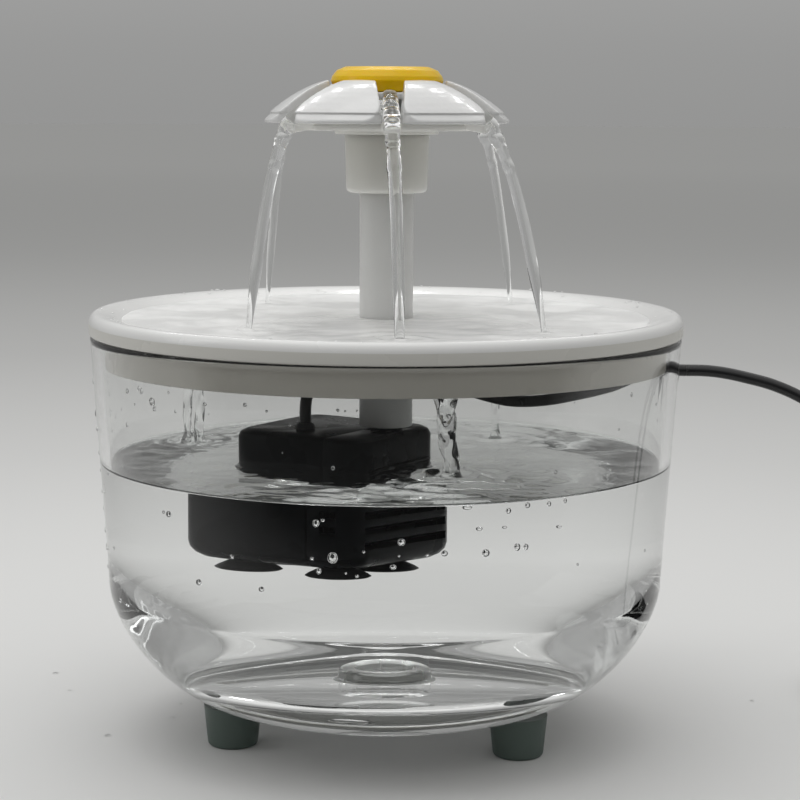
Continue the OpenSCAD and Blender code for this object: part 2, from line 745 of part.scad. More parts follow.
module cable_gland() {
    steps = 5;
    tip_r = cord_d / 2 + 0.5;
    shoulder = 0.7;
    color([0.06, 0.06, 0.07]) in_pump() translate([gland_x, gland_y, pump_h])
        rotate_extrude($fn = small)
            polygon(concat(
                [[0, -pump_wall], [gland_r - gland_step, -pump_wall],
                    [gland_r - gland_step, 0], [gland_r, 0]],
                [for (i = [0:steps]) let (a = 90 * i / steps)
                    [tip_r + (gland_r - tip_r) * cos(a),
                        shoulder + (gland_out - shoulder) * sin(a)]],
                [[0, gland_out]]));
}
stem_l = 1.8;
module suction_cup() {
    lip = 0.5;
    neck = 3;
    rotate_extrude($fn = small)
        polygon([[0, -cup_h + 1.6], [2.4, -cup_h + 1.5], [cup_r - 1.2, -cup_h + 0.1],
            [cup_r - lip, -cup_h], [cup_r, -cup_h + 0.3], [cup_r - 0.8, -cup_h + 1],
            [neck + 1.6, -0.9], [neck, -0.5], [neck, 0], [2, 0], [2, stem_l], [0, stem_l]]);
}
module suction_cups() {
    color([0.12, 0.13, 0.14]) in_pump()
        for (x = [-1, 1], y = [-1, 1])
            translate([x * cup_pitch / 2, y * cup_spread / 2, 0]) suction_cup();
}
module intake_cover() {
    louvre_w = pump_w - 2 * pump_corner_r + 4;
    louvre_margin = 6.5;
    louvre_pitch = (pump_h - 2 * louvre_margin) / louvre_count;
    louvre_z = louvre_margin + 1;
    tilt = 28;
    slot_r = neck_r + slide_gap;
    color([0.05, 0.06, 0.08]) in_pump() difference() {
        pump_form();
        translate([split_x + slide_gap - 2 * pump_l, -pump_w, -1])
            cube([2 * pump_l, 2 * pump_w, pump_h + 2]);
        translate([0, 0, -1]) shell_hollow(-pump_l, pump_l);
        shell_hollow(-pump_l, pump_l);
        translate([-pump_l, -pump_w, -1])
            cube([pump_l + base_x + slide_gap, 2 * pump_w, 1 + base_t + slide_gap]);
        translate([nozzle_x, nozzle_y, pump_h - pump_wall - 1])
            cylinder(r = slot_r, h = pump_wall + 2, $fn = small);
        translate([split_x - 1, nozzle_y - slot_r, pump_h - pump_wall - 1])
            cube([nozzle_x - split_x + 1, 2 * slot_r, pump_wall + 2]);
        for (i = [0:louvre_count - 1])
            translate([pump_l / 2, 0, louvre_z + i * louvre_pitch]) rotate([0, -tilt, 0])
                cube([4 * pump_wall, louvre_w, louvre_h], center = true);
        for (side = [-1, 1], i = [1:louvre_count - 2])
            translate([split_x + cover_l / 2 - 1, side * pump_w / 2, louvre_z + i * louvre_pitch])
                cube([4.4, 4 * pump_wall, louvre_h], center = true);
    }
}
rotor_x = well_end_x + 2.4;
module rotor_magnet() {
    color([0.3, 0.31, 0.33]) in_pump() along_shaft(rotor_x) difference() {
        cylinder(r = rotor_r, h = rotor_l, $fn = small);
        translate([0, 0, -1]) cylinder(r = shaft_r + running_fit, h = rotor_l + 2, $fn = small);
    }
}
module impeller() {
    neck = 4;
    disc_x = split_x + 0.6;
    disc_t = 1.2;
    blade_l = spider_x - 1.6 - disc_x - disc_t - 1.6;
    blade_t = 1;
    blade_in = 3.2;
    bend_r = impeller_r * 1.3;
    color([0.85, 0.86, 0.86]) in_pump() difference() {
        union() {
            along_shaft(rotor_x + rotor_l) cylinder(r = neck, h = disc_x - rotor_x - rotor_l, $fn = small);
            along_shaft(disc_x) cylinder(r = impeller_r, h = disc_t, $fn = small);
            along_shaft(disc_x) cylinder(r = 2.4, h = disc_t + blade_l, $fn = small);
            along_shaft(disc_x + disc_t - e) intersection() {
                difference() {
                    cylinder(r = impeller_r, h = blade_l, $fn = small);
                    translate([0, 0, -1]) cylinder(r = 2.2, h = blade_l + 2, $fn = small);
                }
                for (i = [0:blade_count - 1])
                    rotate([0, 0, i * 360 / blade_count]) translate([0, bend_r, 0]) difference() {
                        cylinder(r = bend_r, h = blade_l, $fn = small);
                        translate([0, 0, -1]) cylinder(r = bend_r - blade_t, h = blade_l + 2, $fn = small);
                        translate([-2 * bend_r, -2 * bend_r, -1])
                            cube([2 * bend_r, 4 * bend_r, blade_l + 2]);
                    }
            }
        }
        along_shaft(rotor_x + rotor_l - 1)
            cylinder(r = shaft_r + running_fit, h = pump_l, $fn = small);
    }
}

// ---------------------------------------------------------------- cord

// A tube swept along points, with one ring of corners at each point, turned to face one way
cord_sides = 8;
cord_aside = [0.5, 0, 0.85];
function unit(v) = v / norm(v);
function heading(points, i) = let (last = len(points) - 1)
    unit(points[min(i + 1, last)] - points[max(i - 1, 0)]);
function cord_ring(points, i, r) = let (
    t = heading(points, i),
    side = unit(cross(t, cord_aside)),
    up = cross(side, t))
    [for (k = [0:cord_sides - 1]) let (a = 360 * (k + 0.5) / cord_sides)
        points[i] + r * cos(a) * side + r * sin(a) * up];
module cord_tube(points) {
    r = cord_d / 2 / cos(180 / cord_sides);
    loft([for (i = [0:len(points) - 1]) cord_ring(points, i, r)]);
}
// Points between the chosen ones, on a smooth curve through them
function smooth_at(p, i, t) = let (
    last = len(p) - 1,
    a = p[max(i - 1, 0)], b = p[i], c = p[i + 1], d = p[min(i + 2, last)])
    b + t * (c - a) / 2 + t * t * (a - 2.5 * b + 2 * c - d / 2)
    + t * t * t * (1.5 * b - a / 2 - 1.5 * c + d / 2);
function smooth_route(p, steps) = concat(
    [for (i = [0:len(p) - 2], s = [0:steps - 1]) smooth_at(p, i, s / steps)],
    [p[len(p) - 1]]);

// From the gland on the pump, up and round the tube under the filter basket, out to the notch
lead_route = [[-24.6, -2, 96.4], [-24.6, -2, 99.6], [-24.3, -1.7, 103.3], [-23.2, -0.6, 107],
    [-20.8, 1.9, 110], [-17.2, 5.6, 111.8], [-13, 9.9, 112.4], [-7.6, 14.5, 112.3],
    [0, 18.5, 111.4], [11, 22.5, 109], [21, 24, 105], [31, 23, 101.7], [40, 20, 100.2],
    [50, 17, 100.9], [60, 13, 103.3], [70, 7.5, 106.6], [78, 2.5, 110.6], [85, 0, 112.5],
    [91.8, 0, 112.5]];
// From the notch out to the right and down on to the table, beside the coil
cord_route = [[92, 0, 112.5], [98, 0, 112.4], [104, 0, 111.7], [111, 0, 110.2], [119, 0, 108], [128, 0, 104],
    [137, 0, 98], [146, 0, 89.5], [154, 1, 78], [160, 2, 65], [165, 3, 52], [170, 4, 39],
    [176, 5, 27], [183, 7, 16], [189.5, 10.5, 8], [194, 16, 3.6], [196, 22, 2], [196.4, 28, 2]];
coil_middle = [172, 42];
coil_top = 11.5;
plug_start = [148, 20];                  // where the cord enters the plug's moulded body
module pump_lead() {
    color([0.04, 0.04, 0.05]) cord_tube(smooth_route(lead_route, 2));
}
module supply_cord() {
    color([0.04, 0.04, 0.05]) cord_tube(smooth_route(cord_route, 2));
}
module cord_coil() {
    round_in = 2.5;
    color([0.04, 0.04, 0.05]) translate([coil_middle[0], coil_middle[1], 0]) rotate_extrude($fn = fine)
        translate([coil_r - coil_bundle / 2, 0])
            polygon([[0, round_in], [round_in, 0], [coil_bundle - round_in, 0],
                [coil_bundle, round_in], [coil_bundle, coil_top - round_in],
                [coil_bundle - round_in, coil_top], [round_in, coil_top], [0, coil_top - round_in]]);
}
plug_w = plug_shell_w + 2 * plug_body_rim;
plug_t = plug_shell_t + 2 * plug_body_rim;
module usb_plug_body() {
    color([0.05, 0.05, 0.06]) {
        translate([plug_start[0], plug_start[1] - plug_relief_l, plug_t / 2]) rotate([90, 0, 0])
            linear_extrude(height = plug_body_l) rounded_rect(plug_w, plug_t, 2);
        translate([plug_start[0], plug_start[1] - plug_relief_l - e, plug_t / 2]) rotate([-90, 0, 0])
            cylinder(r1 = plug_t / 2 - 0.6, r2 = cord_d / 2 + 0.4, h = plug_relief_l, $fn = small);
    }
}
module usb_plug_shell() {
    wall = 0.35;
    tongue_t = 1.8;
    from_y = plug_start[1] - plug_relief_l - plug_body_l;
    color([0.75, 0.76, 0.78]) translate([plug_start[0], from_y, plug_t / 2]) rotate([90, 0, 0]) {
        linear_extrude(height = plug_shell_l) difference() {
            square([plug_shell_w, plug_shell_t], center = true);
            square([plug_shell_w - 2 * wall, plug_shell_t - 2 * wall], center = true);
        }
        translate([-plug_shell_w / 2 + wall, -plug_shell_t / 2 + wall, 0])
            cube([plug_shell_w - 2 * wall, tongue_t, plug_shell_l - 1]);
    }
}

tank();
front_left_foot();
front_right_foot();
rear_foot();
lid_tray();
riser_tube();
filter_basket();
filter_pad();
tube_adaptor();
flower_basin();
flower_petals();
flower_centre();
pump_housing();
stator_core();
stator_coil();
motor_potting();
impeller_shaft();
shaft_bushes();
volute();
volute_seal();
cable_gland();
suction_cups();
intake_cover();
rotor_magnet();
impeller();
pump_lead();
supply_cord();
cord_coil();
usb_plug_body();
usb_plug_shell();
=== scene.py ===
import math
import random

import bpy
import bmesh
import numpy as np
from mathutils import Matrix, Vector, noise


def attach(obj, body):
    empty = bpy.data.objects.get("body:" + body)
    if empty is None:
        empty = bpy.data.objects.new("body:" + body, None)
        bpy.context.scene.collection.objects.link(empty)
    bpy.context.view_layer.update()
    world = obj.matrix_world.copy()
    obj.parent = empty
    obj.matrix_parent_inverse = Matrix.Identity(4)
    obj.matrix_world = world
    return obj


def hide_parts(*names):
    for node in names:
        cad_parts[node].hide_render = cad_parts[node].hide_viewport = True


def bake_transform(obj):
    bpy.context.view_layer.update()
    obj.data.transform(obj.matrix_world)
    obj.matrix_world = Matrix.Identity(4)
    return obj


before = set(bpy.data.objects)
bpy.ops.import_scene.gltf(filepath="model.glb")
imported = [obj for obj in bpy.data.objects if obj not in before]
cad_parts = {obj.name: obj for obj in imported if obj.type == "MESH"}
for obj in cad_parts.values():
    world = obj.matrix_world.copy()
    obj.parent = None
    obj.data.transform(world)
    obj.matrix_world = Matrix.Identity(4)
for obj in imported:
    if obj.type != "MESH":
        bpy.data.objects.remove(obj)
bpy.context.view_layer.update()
scene = bpy.context.scene
mm = 0.001


# camera

view = {"lens": 99.68, "back": 0.673, "height": 0.1956, "pitch": 7.84, "yaw": 0.37, "roll": 0.3}

cameraData = bpy.data.cameras.new("photoCamera")
cameraData.lens = view["lens"]
cameraData.sensor_width = 36
camera = bpy.data.objects.new("photoCamera", cameraData)
scene.collection.objects.link(camera)
camera.matrix_world = (Matrix.Translation((0, -view["back"], view["height"]))
                       @ Matrix.Rotation(-math.radians(view["yaw"]), 4, "Z")
                       @ Matrix.Rotation(math.radians(90 - view["pitch"]), 4, "X")
                       @ Matrix.Rotation(math.radians(view["roll"]), 4, "Z"))
scene.camera = camera
scene.view_settings.view_transform = "Standard"
scene.cycles.max_bounces = 24
scene.cycles.transmission_bounces = 20
scene.cycles.glossy_bounces = 6
scene.cycles.transparent_max_bounces = 16


# mesh helpers

def newObject(name, verts, faces, sharp=35):
    mesh = bpy.data.meshes.new(name)
    mesh.from_pydata([tuple(v) for v in verts], [], faces)
    bm = bmesh.new()
    bm.from_mesh(mesh)
    bmesh.ops.recalc_face_normals(bm, faces=bm.faces)
    bm.to_mesh(mesh)
    bm.free()
    mesh.shade_smooth()
    if sharp:
        mesh.set_sharp_from_angle(angle=math.radians(sharp))
    obj = bpy.data.objects.new(name, mesh)
    scene.collection.objects.link(obj)
    return obj


def lathe(name, profile, steps, sharp=35, closed=True):
    # profile in mm, (r, z); points on the axis become one vertex
    angles = [2 * math.pi * k / steps for k in range(steps)]
    rings, verts = [], []
    for r, z in profile:
        if r < 1e-6:
            rings.append([len(verts)] * steps)
            verts.append((0, 0, z * mm))
        else:
            rings.append(range(len(verts), len(verts) + steps))
            verts += [(r * mm * math.cos(a), r * mm * math.sin(a), z * mm) for a in angles]
    faces = []
    pairs = list(zip(rings, rings[1:])) + ([(rings[-1], rings[0])] if closed else [])
    for low, high in pairs:
        for k in range(steps):
            j = (k + 1) % steps
            face = list(dict.fromkeys((low[k], low[j], high[j], high[k])))
            if len(face) > 2:
                faces.append(face)
    return newObject(name, verts, faces, sharp)


def fillet(points, radius, steps=5):
    # rounds every corner of a closed outline; radius is one number or one for each corner
    out = []
    count = len(points)
    for i in range(count):
        p, a, b = (Vector(points[j % count]) for j in (i, i - 1, i + 1))
        r = radius[i] if isinstance(radius, (list, tuple)) else radius
        da, db = (a - p), (b - p)
        turn = da.angle(db) if da.length > 1e-6 and db.length > 1e-6 else math.pi
        if r <= 0 or turn > math.radians(172):
            out.append(tuple(p))
            continue
        reach = min(r / math.tan(turn / 2), 0.45 * da.length, 0.45 * db.length)
        start, end = p + da.normalized() * reach, p + db.normalized() * reach
        for s in range(steps + 1):
            t = s / steps
            out.append(tuple((1 - t) ** 2 * start + 2 * t * (1 - t) * p + t * t * end))
    return out


def smoothRoute(points, steps):
    # the same curve through the chosen points as the cord's solids follow
    points = [Vector(p) for p in points]
    last = len(points) - 1
    out = []
    for i in range(last):
        a, b, c, d = points[max(i - 1, 0)], points[i], points[i + 1], points[min(i + 2, last)]
        for s in range(steps):
            t = s / steps
            out.append(b + t * (c - a) / 2 + t * t * (a - 2.5 * b + 2 * c - d / 2)
                       + t ** 3 * (1.5 * b - a / 2 - 1.5 * c + d / 2))
    return out + [points[last]]


def routeLength(points):
    return sum((b - a).length for a, b in zip(points, points[1:]))


def tube(name, points, radii, sides=16, across=(1, 0, 0), wobble=0.0, seed=0, twist=0.0):
    # a tube along points, in mm; a radius may be an (across, up) pair, wobble is a share of it, twist is in degrees
    verts, faces = [], []
    side = Vector(across)
    for i, p in enumerate(points):
        ahead = (points[min(i + 1, len(points) - 1)] - points[max(i - 1, 0)]).normalized()
        side = (side - ahead * side.dot(ahead)).normalized()
        up = ahead.cross(side)
        wide, high = radii[i] if isinstance(radii[i], tuple) else (radii[i], radii[i])
        turn = math.radians(twist) * i / len(points)
        for k in range(sides):
            a = 2 * math.pi * k / sides
            u, v = wide * math.cos(a), high * math.sin(a)
            if wobble:
                swell = 1 + wobble * noise.noise(Vector((math.cos(a) * 1.1, math.sin(a) * 1.1, i * 0.13 + seed * 7.7)))
                u, v = u * swell, v * swell
            u, v = u * math.cos(turn) - v * math.sin(turn), u * math.sin(turn) + v * math.cos(turn)
            verts.append((p + side * u + up * v) * mm)
    for i in range(len(points) - 1):
        for k in range(sides):
            j = (k + 1) % sides
            faces.append([i * sides + k, i * sides + j, (i + 1) * sides + j, (i + 1) * sides + k])
    faces.append(list(range(sides))[::-1])
    faces.append([(len(points) - 1) * sides + k for k in range(sides)])
    return newObject(name, verts, faces, 60)


def eased(t):
    return t * t * (3 - 2 * t)


def easeBetween(stops, t):
    # a value eased between (place, value) stops
    for (ta, a), (tb, b) in zip(stops, stops[1:]):
        if t <= tb:
            return a + (b - a) * eased(min(1, max(0, (t - ta) / (tb - ta))))
    return stops[-1][1]


def scatter(name, spots, form):
    # one mesh of many small beads; a spot is (place, outward, radius), form squashes a bead along outward
    bm = bmesh.new()
    for index, (place, outward, radius) in enumerate(spots):
        turn = Vector(outward).to_track_quat("Z", "Y").to_matrix().to_4x4()
        lean = 1 + 0.25 * noise.noise(Vector((index * 3.1, 0.5, 0.2)))
        size = Matrix.Diagonal((radius * mm * lean, radius * mm / lean, radius * mm * form, 1))
        bmesh.ops.create_icosphere(bm, subdivisions=3, radius=1,
                                   matrix=Matrix.Translation(Vector(place) * mm) @ turn @ size)
    mesh = bpy.data.meshes.new(name)
    bm.to_mesh(mesh)
    bm.free()
    mesh.shade_smooth()
    obj = bpy.data.objects.new(name, mesh)
    scene.collection.objects.link(obj)
    return obj


def softCopy(name, nodes, voxel, passes):
    # a CAD solid's form with its edges rounded as moulding leaves them
    mesh = bpy.data.meshes.new(name)
    bm = bmesh.new()
    for node in nodes:
        bm.from_mesh(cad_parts[node].data)
    bm.to_mesh(mesh)
    bm.free()
    obj = bpy.data.objects.new(name, mesh)
    scene.collection.objects.link(obj)
    remesh = obj.modifiers.new("remesh", "REMESH")
    remesh.mode = "VOXEL"
    remesh.voxel_size = voxel * mm
    smooth = obj.modifiers.new("smooth", "SMOOTH")
    smooth.factor = 0.5
    smooth.iterations = passes
    applyModifiers(obj)
    obj.data.shade_smooth()
    return obj


def applyModifiers(obj):
    deps = bpy.context.evaluated_depsgraph_get()
    mesh = bpy.data.meshes.new_from_object(obj.evaluated_get(deps))
    obj.modifiers.clear()
    old = obj.data
    obj.data = mesh
    bpy.data.meshes.remove(old)


# material helpers

def newMaterial(name):
    mat = bpy.data.materials.new(name)
    mat.use_nodes = True
    nodes, links = mat.node_tree.nodes, mat.node_tree.links
    return mat, nodes, links, nodes["Principled BSDF"]


def grain(nodes, links, scale, detail=4):
    coords = nodes.new("ShaderNodeTexCoord")
    texture = nodes.new("ShaderNodeTexNoise")
    texture.inputs["Scale"].default_value = scale
    texture.inputs["Detail"].default_value = detail
    texture.inputs["Roughness"].default_value = 0.5
    links.new(coords.outputs["Object"], texture.inputs["Vector"])
    return texture


def spread(nodes, links, source, low, high, fromLow=0.3, fromHigh=0.7):
    ranged = nodes.new("ShaderNodeMapRange")
    ranged.inputs["From Min"].default_value = fromLow
    ranged.inputs["From Max"].default_value = fromHigh
    ranged.inputs["To Min"].default_value = low
    ranged.inputs["To Max"].default_value = high
    links.new(source, ranged.inputs["Value"])
    return ranged.outputs["Result"]


def bumpFrom(nodes, links, source, shader, strength, distance):
    bump = nodes.new("ShaderNodeBump")
    bump.inputs["Strength"].default_value = strength
    bump.inputs["Distance"].default_value = distance * mm
    links.new(source, bump.inputs["Height"])
    links.new(bump.outputs["Normal"], shader.inputs["Normal"])


def mixedColour(nodes, links, source, first, second, shader):
    mix = nodes.new("ShaderNodeMix")
    mix.data_type = "RGBA"
    mix.inputs["A"].default_value = (*first, 1)
    mix.inputs["B"].default_value = (*[min(1, c) for c in second], 1)
    links.new(source, mix.inputs["Factor"])
    links.new(mix.outputs["Result"], shader.inputs["Base Color"])


def moulded(name, colour, rough, vary=0.04, speckle=0.04, scale=60, bump=0.05, fine=900, **sockets):
    # moulded plastic or rubber: a little unevenness in colour, gloss and surface
    mat, nodes, links, shader = newMaterial(name)
    cloud = grain(nodes, links, scale)
    mixedColour(nodes, links, cloud.outputs["Fac"], [c * (1 - speckle) for c in colour],
                [c * (1 + speckle) for c in colour], shader)
    links.new(spread(nodes, links, cloud.outputs["Fac"], max(0.02, rough - vary), rough + vary),
              shader.inputs["Roughness"])
    bumpFrom(nodes, links, grain(nodes, links, fine, 2).outputs["Fac"], shader, bump, 0.2)
    for key, value in sockets.items():
        shader.inputs[key.replace("_", " ")].default_value = value
    return mat


def dress(obj, mat):
    obj.data.materials.clear()
    obj.data.materials.append(mat)


# cords

cordSize = {"radius": 1.8, "steps": 6, "coilSteps": 2}
# the lead from the pump up round the tube, under the basket and out to the notch
leadRoute = [(-24.6, -2, 96.4), (-24.6, -2, 99.6), (-24.3, -1.7, 103.3), (-23.2, -0.6, 107),
             (-20.8, 1.9, 110), (-17.2, 5.6, 111.8), (-13, 9.9, 112.4), (-7.6, 14.5, 112.3),
             (0, 18.5, 111.4), (11, 22.5, 109), (21, 24, 105), (31, 23, 101.7),
             (40, 20, 100.2), (50, 17, 100.9), (60, 13, 103.3), (70, 7.5, 106.6),
             (78, 2.5, 110.6), (85, 0, 112.5), (91.8, 0, 112.5)]
cordRoute = [(92, 0, 112.5), (98, 0, 112.4), (104, 0, 111.7), (111, 0, 110.2), (119, 0, 108), (128, 0, 104),
             (137, 0, 98), (146, 0, 89.5), (154, 1, 78), (160, 2, 65), (165, 3, 52), (170, 4, 39),
             (176, 5, 27), (183, 7, 16), (189.5, 10.5, 8), (194, 16, 3.6), (196, 22, 2), (196.4, 28, 2)]
coil = {"middle": (172, 42), "from": -22, "perTurn": 24,
        "turns": [(23.7, 1.95), (20, 1.95), (16.3, 1.95), (16.3, 5.65), (20, 5.65), (23.7, 5.65),
                  (16.3, 9.35), (20, 9.35), (23.7, 9.35)],
        "tail": [(148.1, 37, 9.2), (147.8, 31, 8.3), (147.9, 27, 6.3), (148, 23, 4.7), (148, 20, 4.05)]}


def coilPoints():
    # each turn keeps its place in the bundle, then climbs and shifts to the next one over its last quarter
    points = []
    last = len(coil["turns"]) - 1
    total = last * 360 + 180 - coil["from"]
    steps = int(total / 360 * coil["perTurn"])
    for i in range(steps + 1):
        angle = total * i / steps
        turn = min(int(angle // 360), last)
        part = (angle / 360 - turn - 0.72) / 0.28
        here, after = coil["turns"][turn], coil["turns"][min(turn + 1, last)]
        climbs = after[1] != here[1] and after[0] != here[0]
        up = eased(min(max(part * (2 if climbs else 1), 0), 1))
        out = eased(min(max(part * 2 - 1 if climbs else part, 0), 1))
        r, z = here[0] + (after[0] - here[0]) * out, here[1] + (after[1] - here[1]) * up
        a = math.radians(coil["from"] + angle)
        points.append((coil["middle"][0] + r * math.cos(a), coil["middle"][1] + r * math.sin(a), z))
    return points


cordBlack = moulded("cordBlack", (0.012, 0.012, 0.013), 0.34, vary=0.08, scale=200, bump=0.1, fine=1500)

leadPoints = smoothRoute(leadRoute, cordSize["steps"])
lead = tube("pumpLead", leadPoints, [cordSize["radius"]] * len(leadPoints), sides=20)
dress(lead, cordBlack)
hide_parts("pump_lead")
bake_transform(lead)

outerPoints = smoothRoute(cordRoute[:-1], cordSize["steps"])
outerPoints += smoothRoute([cordRoute[-1]] + coilPoints() + coil["tail"], cordSize["coilSteps"])
outer = tube("supplyCord", outerPoints, [cordSize["radius"]] * len(outerPoints))
dress(outer, cordBlack)
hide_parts("supply_cord", "cord_coil")
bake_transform(outer)
print("cords", round(routeLength(leadPoints)), round(routeLength(outerPoints)), "mm")


# stage and light

stage = {"radius": 14.0,
         "tones": [(0.0, 0.76), (0.2, 0.755), (0.55, 0.59), (1.03, 0.455), (2.15, 0.375), (4.4, 0.40), (5.6, 0.415)],
         "dimFrom": -0.12, "dimTo": -0.28, "dim": 0.12}


def rampOf(nodes, stops, low, high, ease="B_SPLINE"):
    ramp = nodes.new("ShaderNodeValToRGB")
    ramp.color_ramp.interpolation = ease
    while len(ramp.color_ramp.elements) < len(stops):
        ramp.color_ramp.elements.new(0.5)
    for element, (at, tone) in zip(ramp.color_ramp.elements, stops):
        element.position = (at - low) / (high - low)
        element.color = (tone, tone, tone * 0.99, 1)
    return ramp


def tonedFloor():
    # the pool of light on the floor, which falls off sooner towards the front
    mat, nodes, links, shader = newMaterial("paleFloor")
    coords = nodes.new("ShaderNodeTexCoord")
    length = nodes.new("ShaderNodeVectorMath")
    length.operation = "LENGTH"
    links.new(coords.outputs["Object"], length.inputs[0])
    span = stage["tones"][-1][0]
    ramp = rampOf(nodes, stage["tones"], 0, span)
    links.new(spread(nodes, links, length.outputs["Value"], 0, 1, 0, span), ramp.inputs["Fac"])
    split = nodes.new("ShaderNodeSeparateXYZ")
    links.new(coords.outputs["Object"], split.inputs["Vector"])
    dim = spread(nodes, links, split.outputs["Y"], stage["dim"], 1, stage["dimTo"], stage["dimFrom"])
    scale = nodes.new("ShaderNodeVectorMath")
    scale.operation = "SCALE"
    links.new(ramp.outputs["Color"], scale.inputs[0])
    links.new(dim, scale.inputs["Scale"])
    links.new(scale.outputs["Vector"], shader.inputs["Base Color"])
    shader.inputs["Roughness"].default_value = 0.8
    shader.inputs["Specular IOR Level"].default_value = 0
    bumpFrom(nodes, links, grain(nodes, links, 700, 3).outputs["Fac"], shader, 0.05, 0.2)
    return mat


floor = lathe("floor", [(0, 0), (200, 0), (1000, 0), (4000, 0), (stage["radius"] * 1000, 0)], 96, sharp=0, closed=False)
dress(floor, tonedFloor())

# a grey studio: even round the horizon behind the part, darker on the viewer's side, bright overhead
world = bpy.data.worlds.new("room")
scene.world = world
world.use_nodes = True
sky = {"back": [(-1, 0.335), (-0.01, 0.335), (0.02, 0.35), (0.05, 0.385), (0.30, 0.385), (0.46, 0.45), (0.62, 0.95),
                (1, 1.05)],
       "front": [(-1, 0.09), (-0.01, 0.09), (0.03, 0.10), (0.30, 0.12), (0.46, 0.40), (0.62, 0.95), (1, 1.05)],
       "strength": 0.9}
nodes, links = world.node_tree.nodes, world.node_tree.links
coords = nodes.new("ShaderNodeTexCoord")
split = nodes.new("ShaderNodeSeparateXYZ")
links.new(coords.outputs["Generated"], split.inputs["Vector"])
height = spread(nodes, links, split.outputs["Z"], 0, 1, -1, 1)
side = spread(nodes, links, split.outputs["Y"], 0, 1, -0.6, 0.35)
mix = nodes.new("ShaderNodeMix")
mix.data_type = "RGBA"
links.new(side, mix.inputs["Factor"])
for key, socket in (("front", "A"), ("back", "B")):
    ramp = rampOf(nodes, sky[key], -1, 1, "LINEAR")
    links.new(height, ramp.inputs["Fac"])
    links.new(ramp.outputs["Color"], mix.inputs[socket])
links.new(mix.outputs["Result"], nodes["Background"].inputs["Color"])
nodes["Background"].inputs["Strength"].default_value = sky["strength"]

lamps = [
    {"name": "ceilingSoftbox", "at": (-0.3, -0.1, 1.9), "aim": (0, 0, 0.1), "size": (1.6, 1.2), "power": 5},
    {"name": "leftWindow", "at": (-1.5, -0.2, 0.9), "aim": (0, 0, 0.1), "size": (0.4, 1.1), "power": 2},
    {"name": "frontFill", "at": (-0.2, -1.5, 0.45), "aim": (0, 0, 0.13), "size": (1.4, 0.7), "power": 1.2,
     "glossy": False},
]
# a row of small lights behind and above, which shows as a row of glints along each crest
glints = {"apart": 0.2, "each": 4, "power": 0.28}
lamps += [{"name": "rearLight%d" % i, "at": (glints["apart"] * i, 1.15, 1.35), "aim": (0, 0, 0.19),
           "size": (0.1, 0.06), "power": glints["power"]} for i in range(-glints["each"], glints["each"] + 1)]
for lamp in lamps:
    light = bpy.data.lights.new(lamp["name"], "AREA")
    light.shape = "RECTANGLE"
    light.size, light.size_y = lamp["size"]
    light.energy = lamp["power"]
    obj = bpy.data.objects.new(lamp["name"], light)
    scene.collection.objects.link(obj)
    obj.location = lamp["at"]
    obj.rotation_euler = (Vector(lamp["aim"]) - Vector(lamp["at"])).to_track_quat("-Z", "Y").to_euler()
    obj.visible_glossy = obj.visible_transmission = lamp.get("glossy", True)
print("stage")


# tank

tankForm = {"rim": 89.7, "shoulder": 84.7, "corner": 31.7, "bulge": 1.55, "waist": 0.9, "foot": 12.5,
            "cornerHeight": 35, "top": 124, "rimRound": 1.5, "wall": 3, "floor": 14, "boss": 10.5, "bossBore": 6.3,
            "bossHeight": 2.6, "notch": 2.3, "notchBottom": 112.5, "notchStart": 104}


def wallOut(share, inset):
    # the wall's radius at a share of its height; it leaves the bowl's curve without a crease
    t = tankForm
    return t["shoulder"] - inset + (t["rim"] - t["shoulder"]) * share - t["waist"] * share * (1 - share) ** 3


def wallAt(z, inset):
    low = tankForm["foot"] + tankForm["cornerHeight"]
    return wallOut((z - low) / (tankForm["top"] - low), inset)


def tankCurve(inset, lift, steps=48, wallSteps=12):
    # the bowl from its flat underside up to the shoulder, then the wall to the rim
    t = tankForm
    flat = t["shoulder"] - t["corner"]
    z = t["foot"] + t["cornerHeight"]
    curve = []
    for i in range(steps + 1):
        a = math.radians(90 * i / steps)
        curve.append((flat + (t["corner"] - inset) * math.sin(a) ** (2 / t["bulge"]),
                      z - (t["cornerHeight"] - lift) * math.cos(a) ** (2 / t["bulge"])))
    for s in range(1, wallSteps + 1):
        u = s / wallSteps
        curve.append((wallOut(u, inset), z + (t["top"] - z) * u))
    return curve


fill = {"level": 85.2, "climb": 1.0, "chop": 0.8, "steps": 320, "ringCount": 140,
        "rings": [(19.4, -30, 7.5, 0.62, 22), (-64.5, 32, 3.4, 0.3, 12), (-60.5, 33, 4.6, 0.4, 16),
                  (36, 42, 5.5, 0.35, 18)]}  # x, y, wave, size, reach
waterLine = fill["level"] + fill["climb"]

outerCurve = tankCurve(0, 0)
innerCurve = tankCurve(tankForm["wall"], tankForm["floor"])
top, foot, rimRound = tankForm["top"], tankForm["foot"], tankForm["rimRound"]
rimArc = [(tankForm["rim"] - rimRound + rimRound * math.cos(math.radians(a)),
           top - rimRound + rimRound * math.sin(math.radians(a))) for a in range(15, 176, 20)]
# the boss in the floor and the shallow recess under it, as steps out and down from their edges
boss, bore = tankForm["boss"], tankForm["bossBore"]
bossTop = foot + tankForm["floor"] + tankForm["bossHeight"]
bossEdge = [(boss + out, bossTop - down) for out, down in
            ((1.2, 2.6), (0.3, 2.3), (0, 1.5), (0, 0.8), (-0.4, 0.15), (-1.1, 0))]
bossEdge += [(bore + 0.9, bossTop), (bore + 0.2, bossTop - 0.3), (bore, bossTop - 1.3), (0, bossTop - 1.3)]
recess = [(r, foot + up) for r, up in
          ((0, 1.2), (8.6, 1.2), (9.1, 1.0), (10, 0.2), (10.5, 0), (11, 0), (12, 0))]
columns = 800
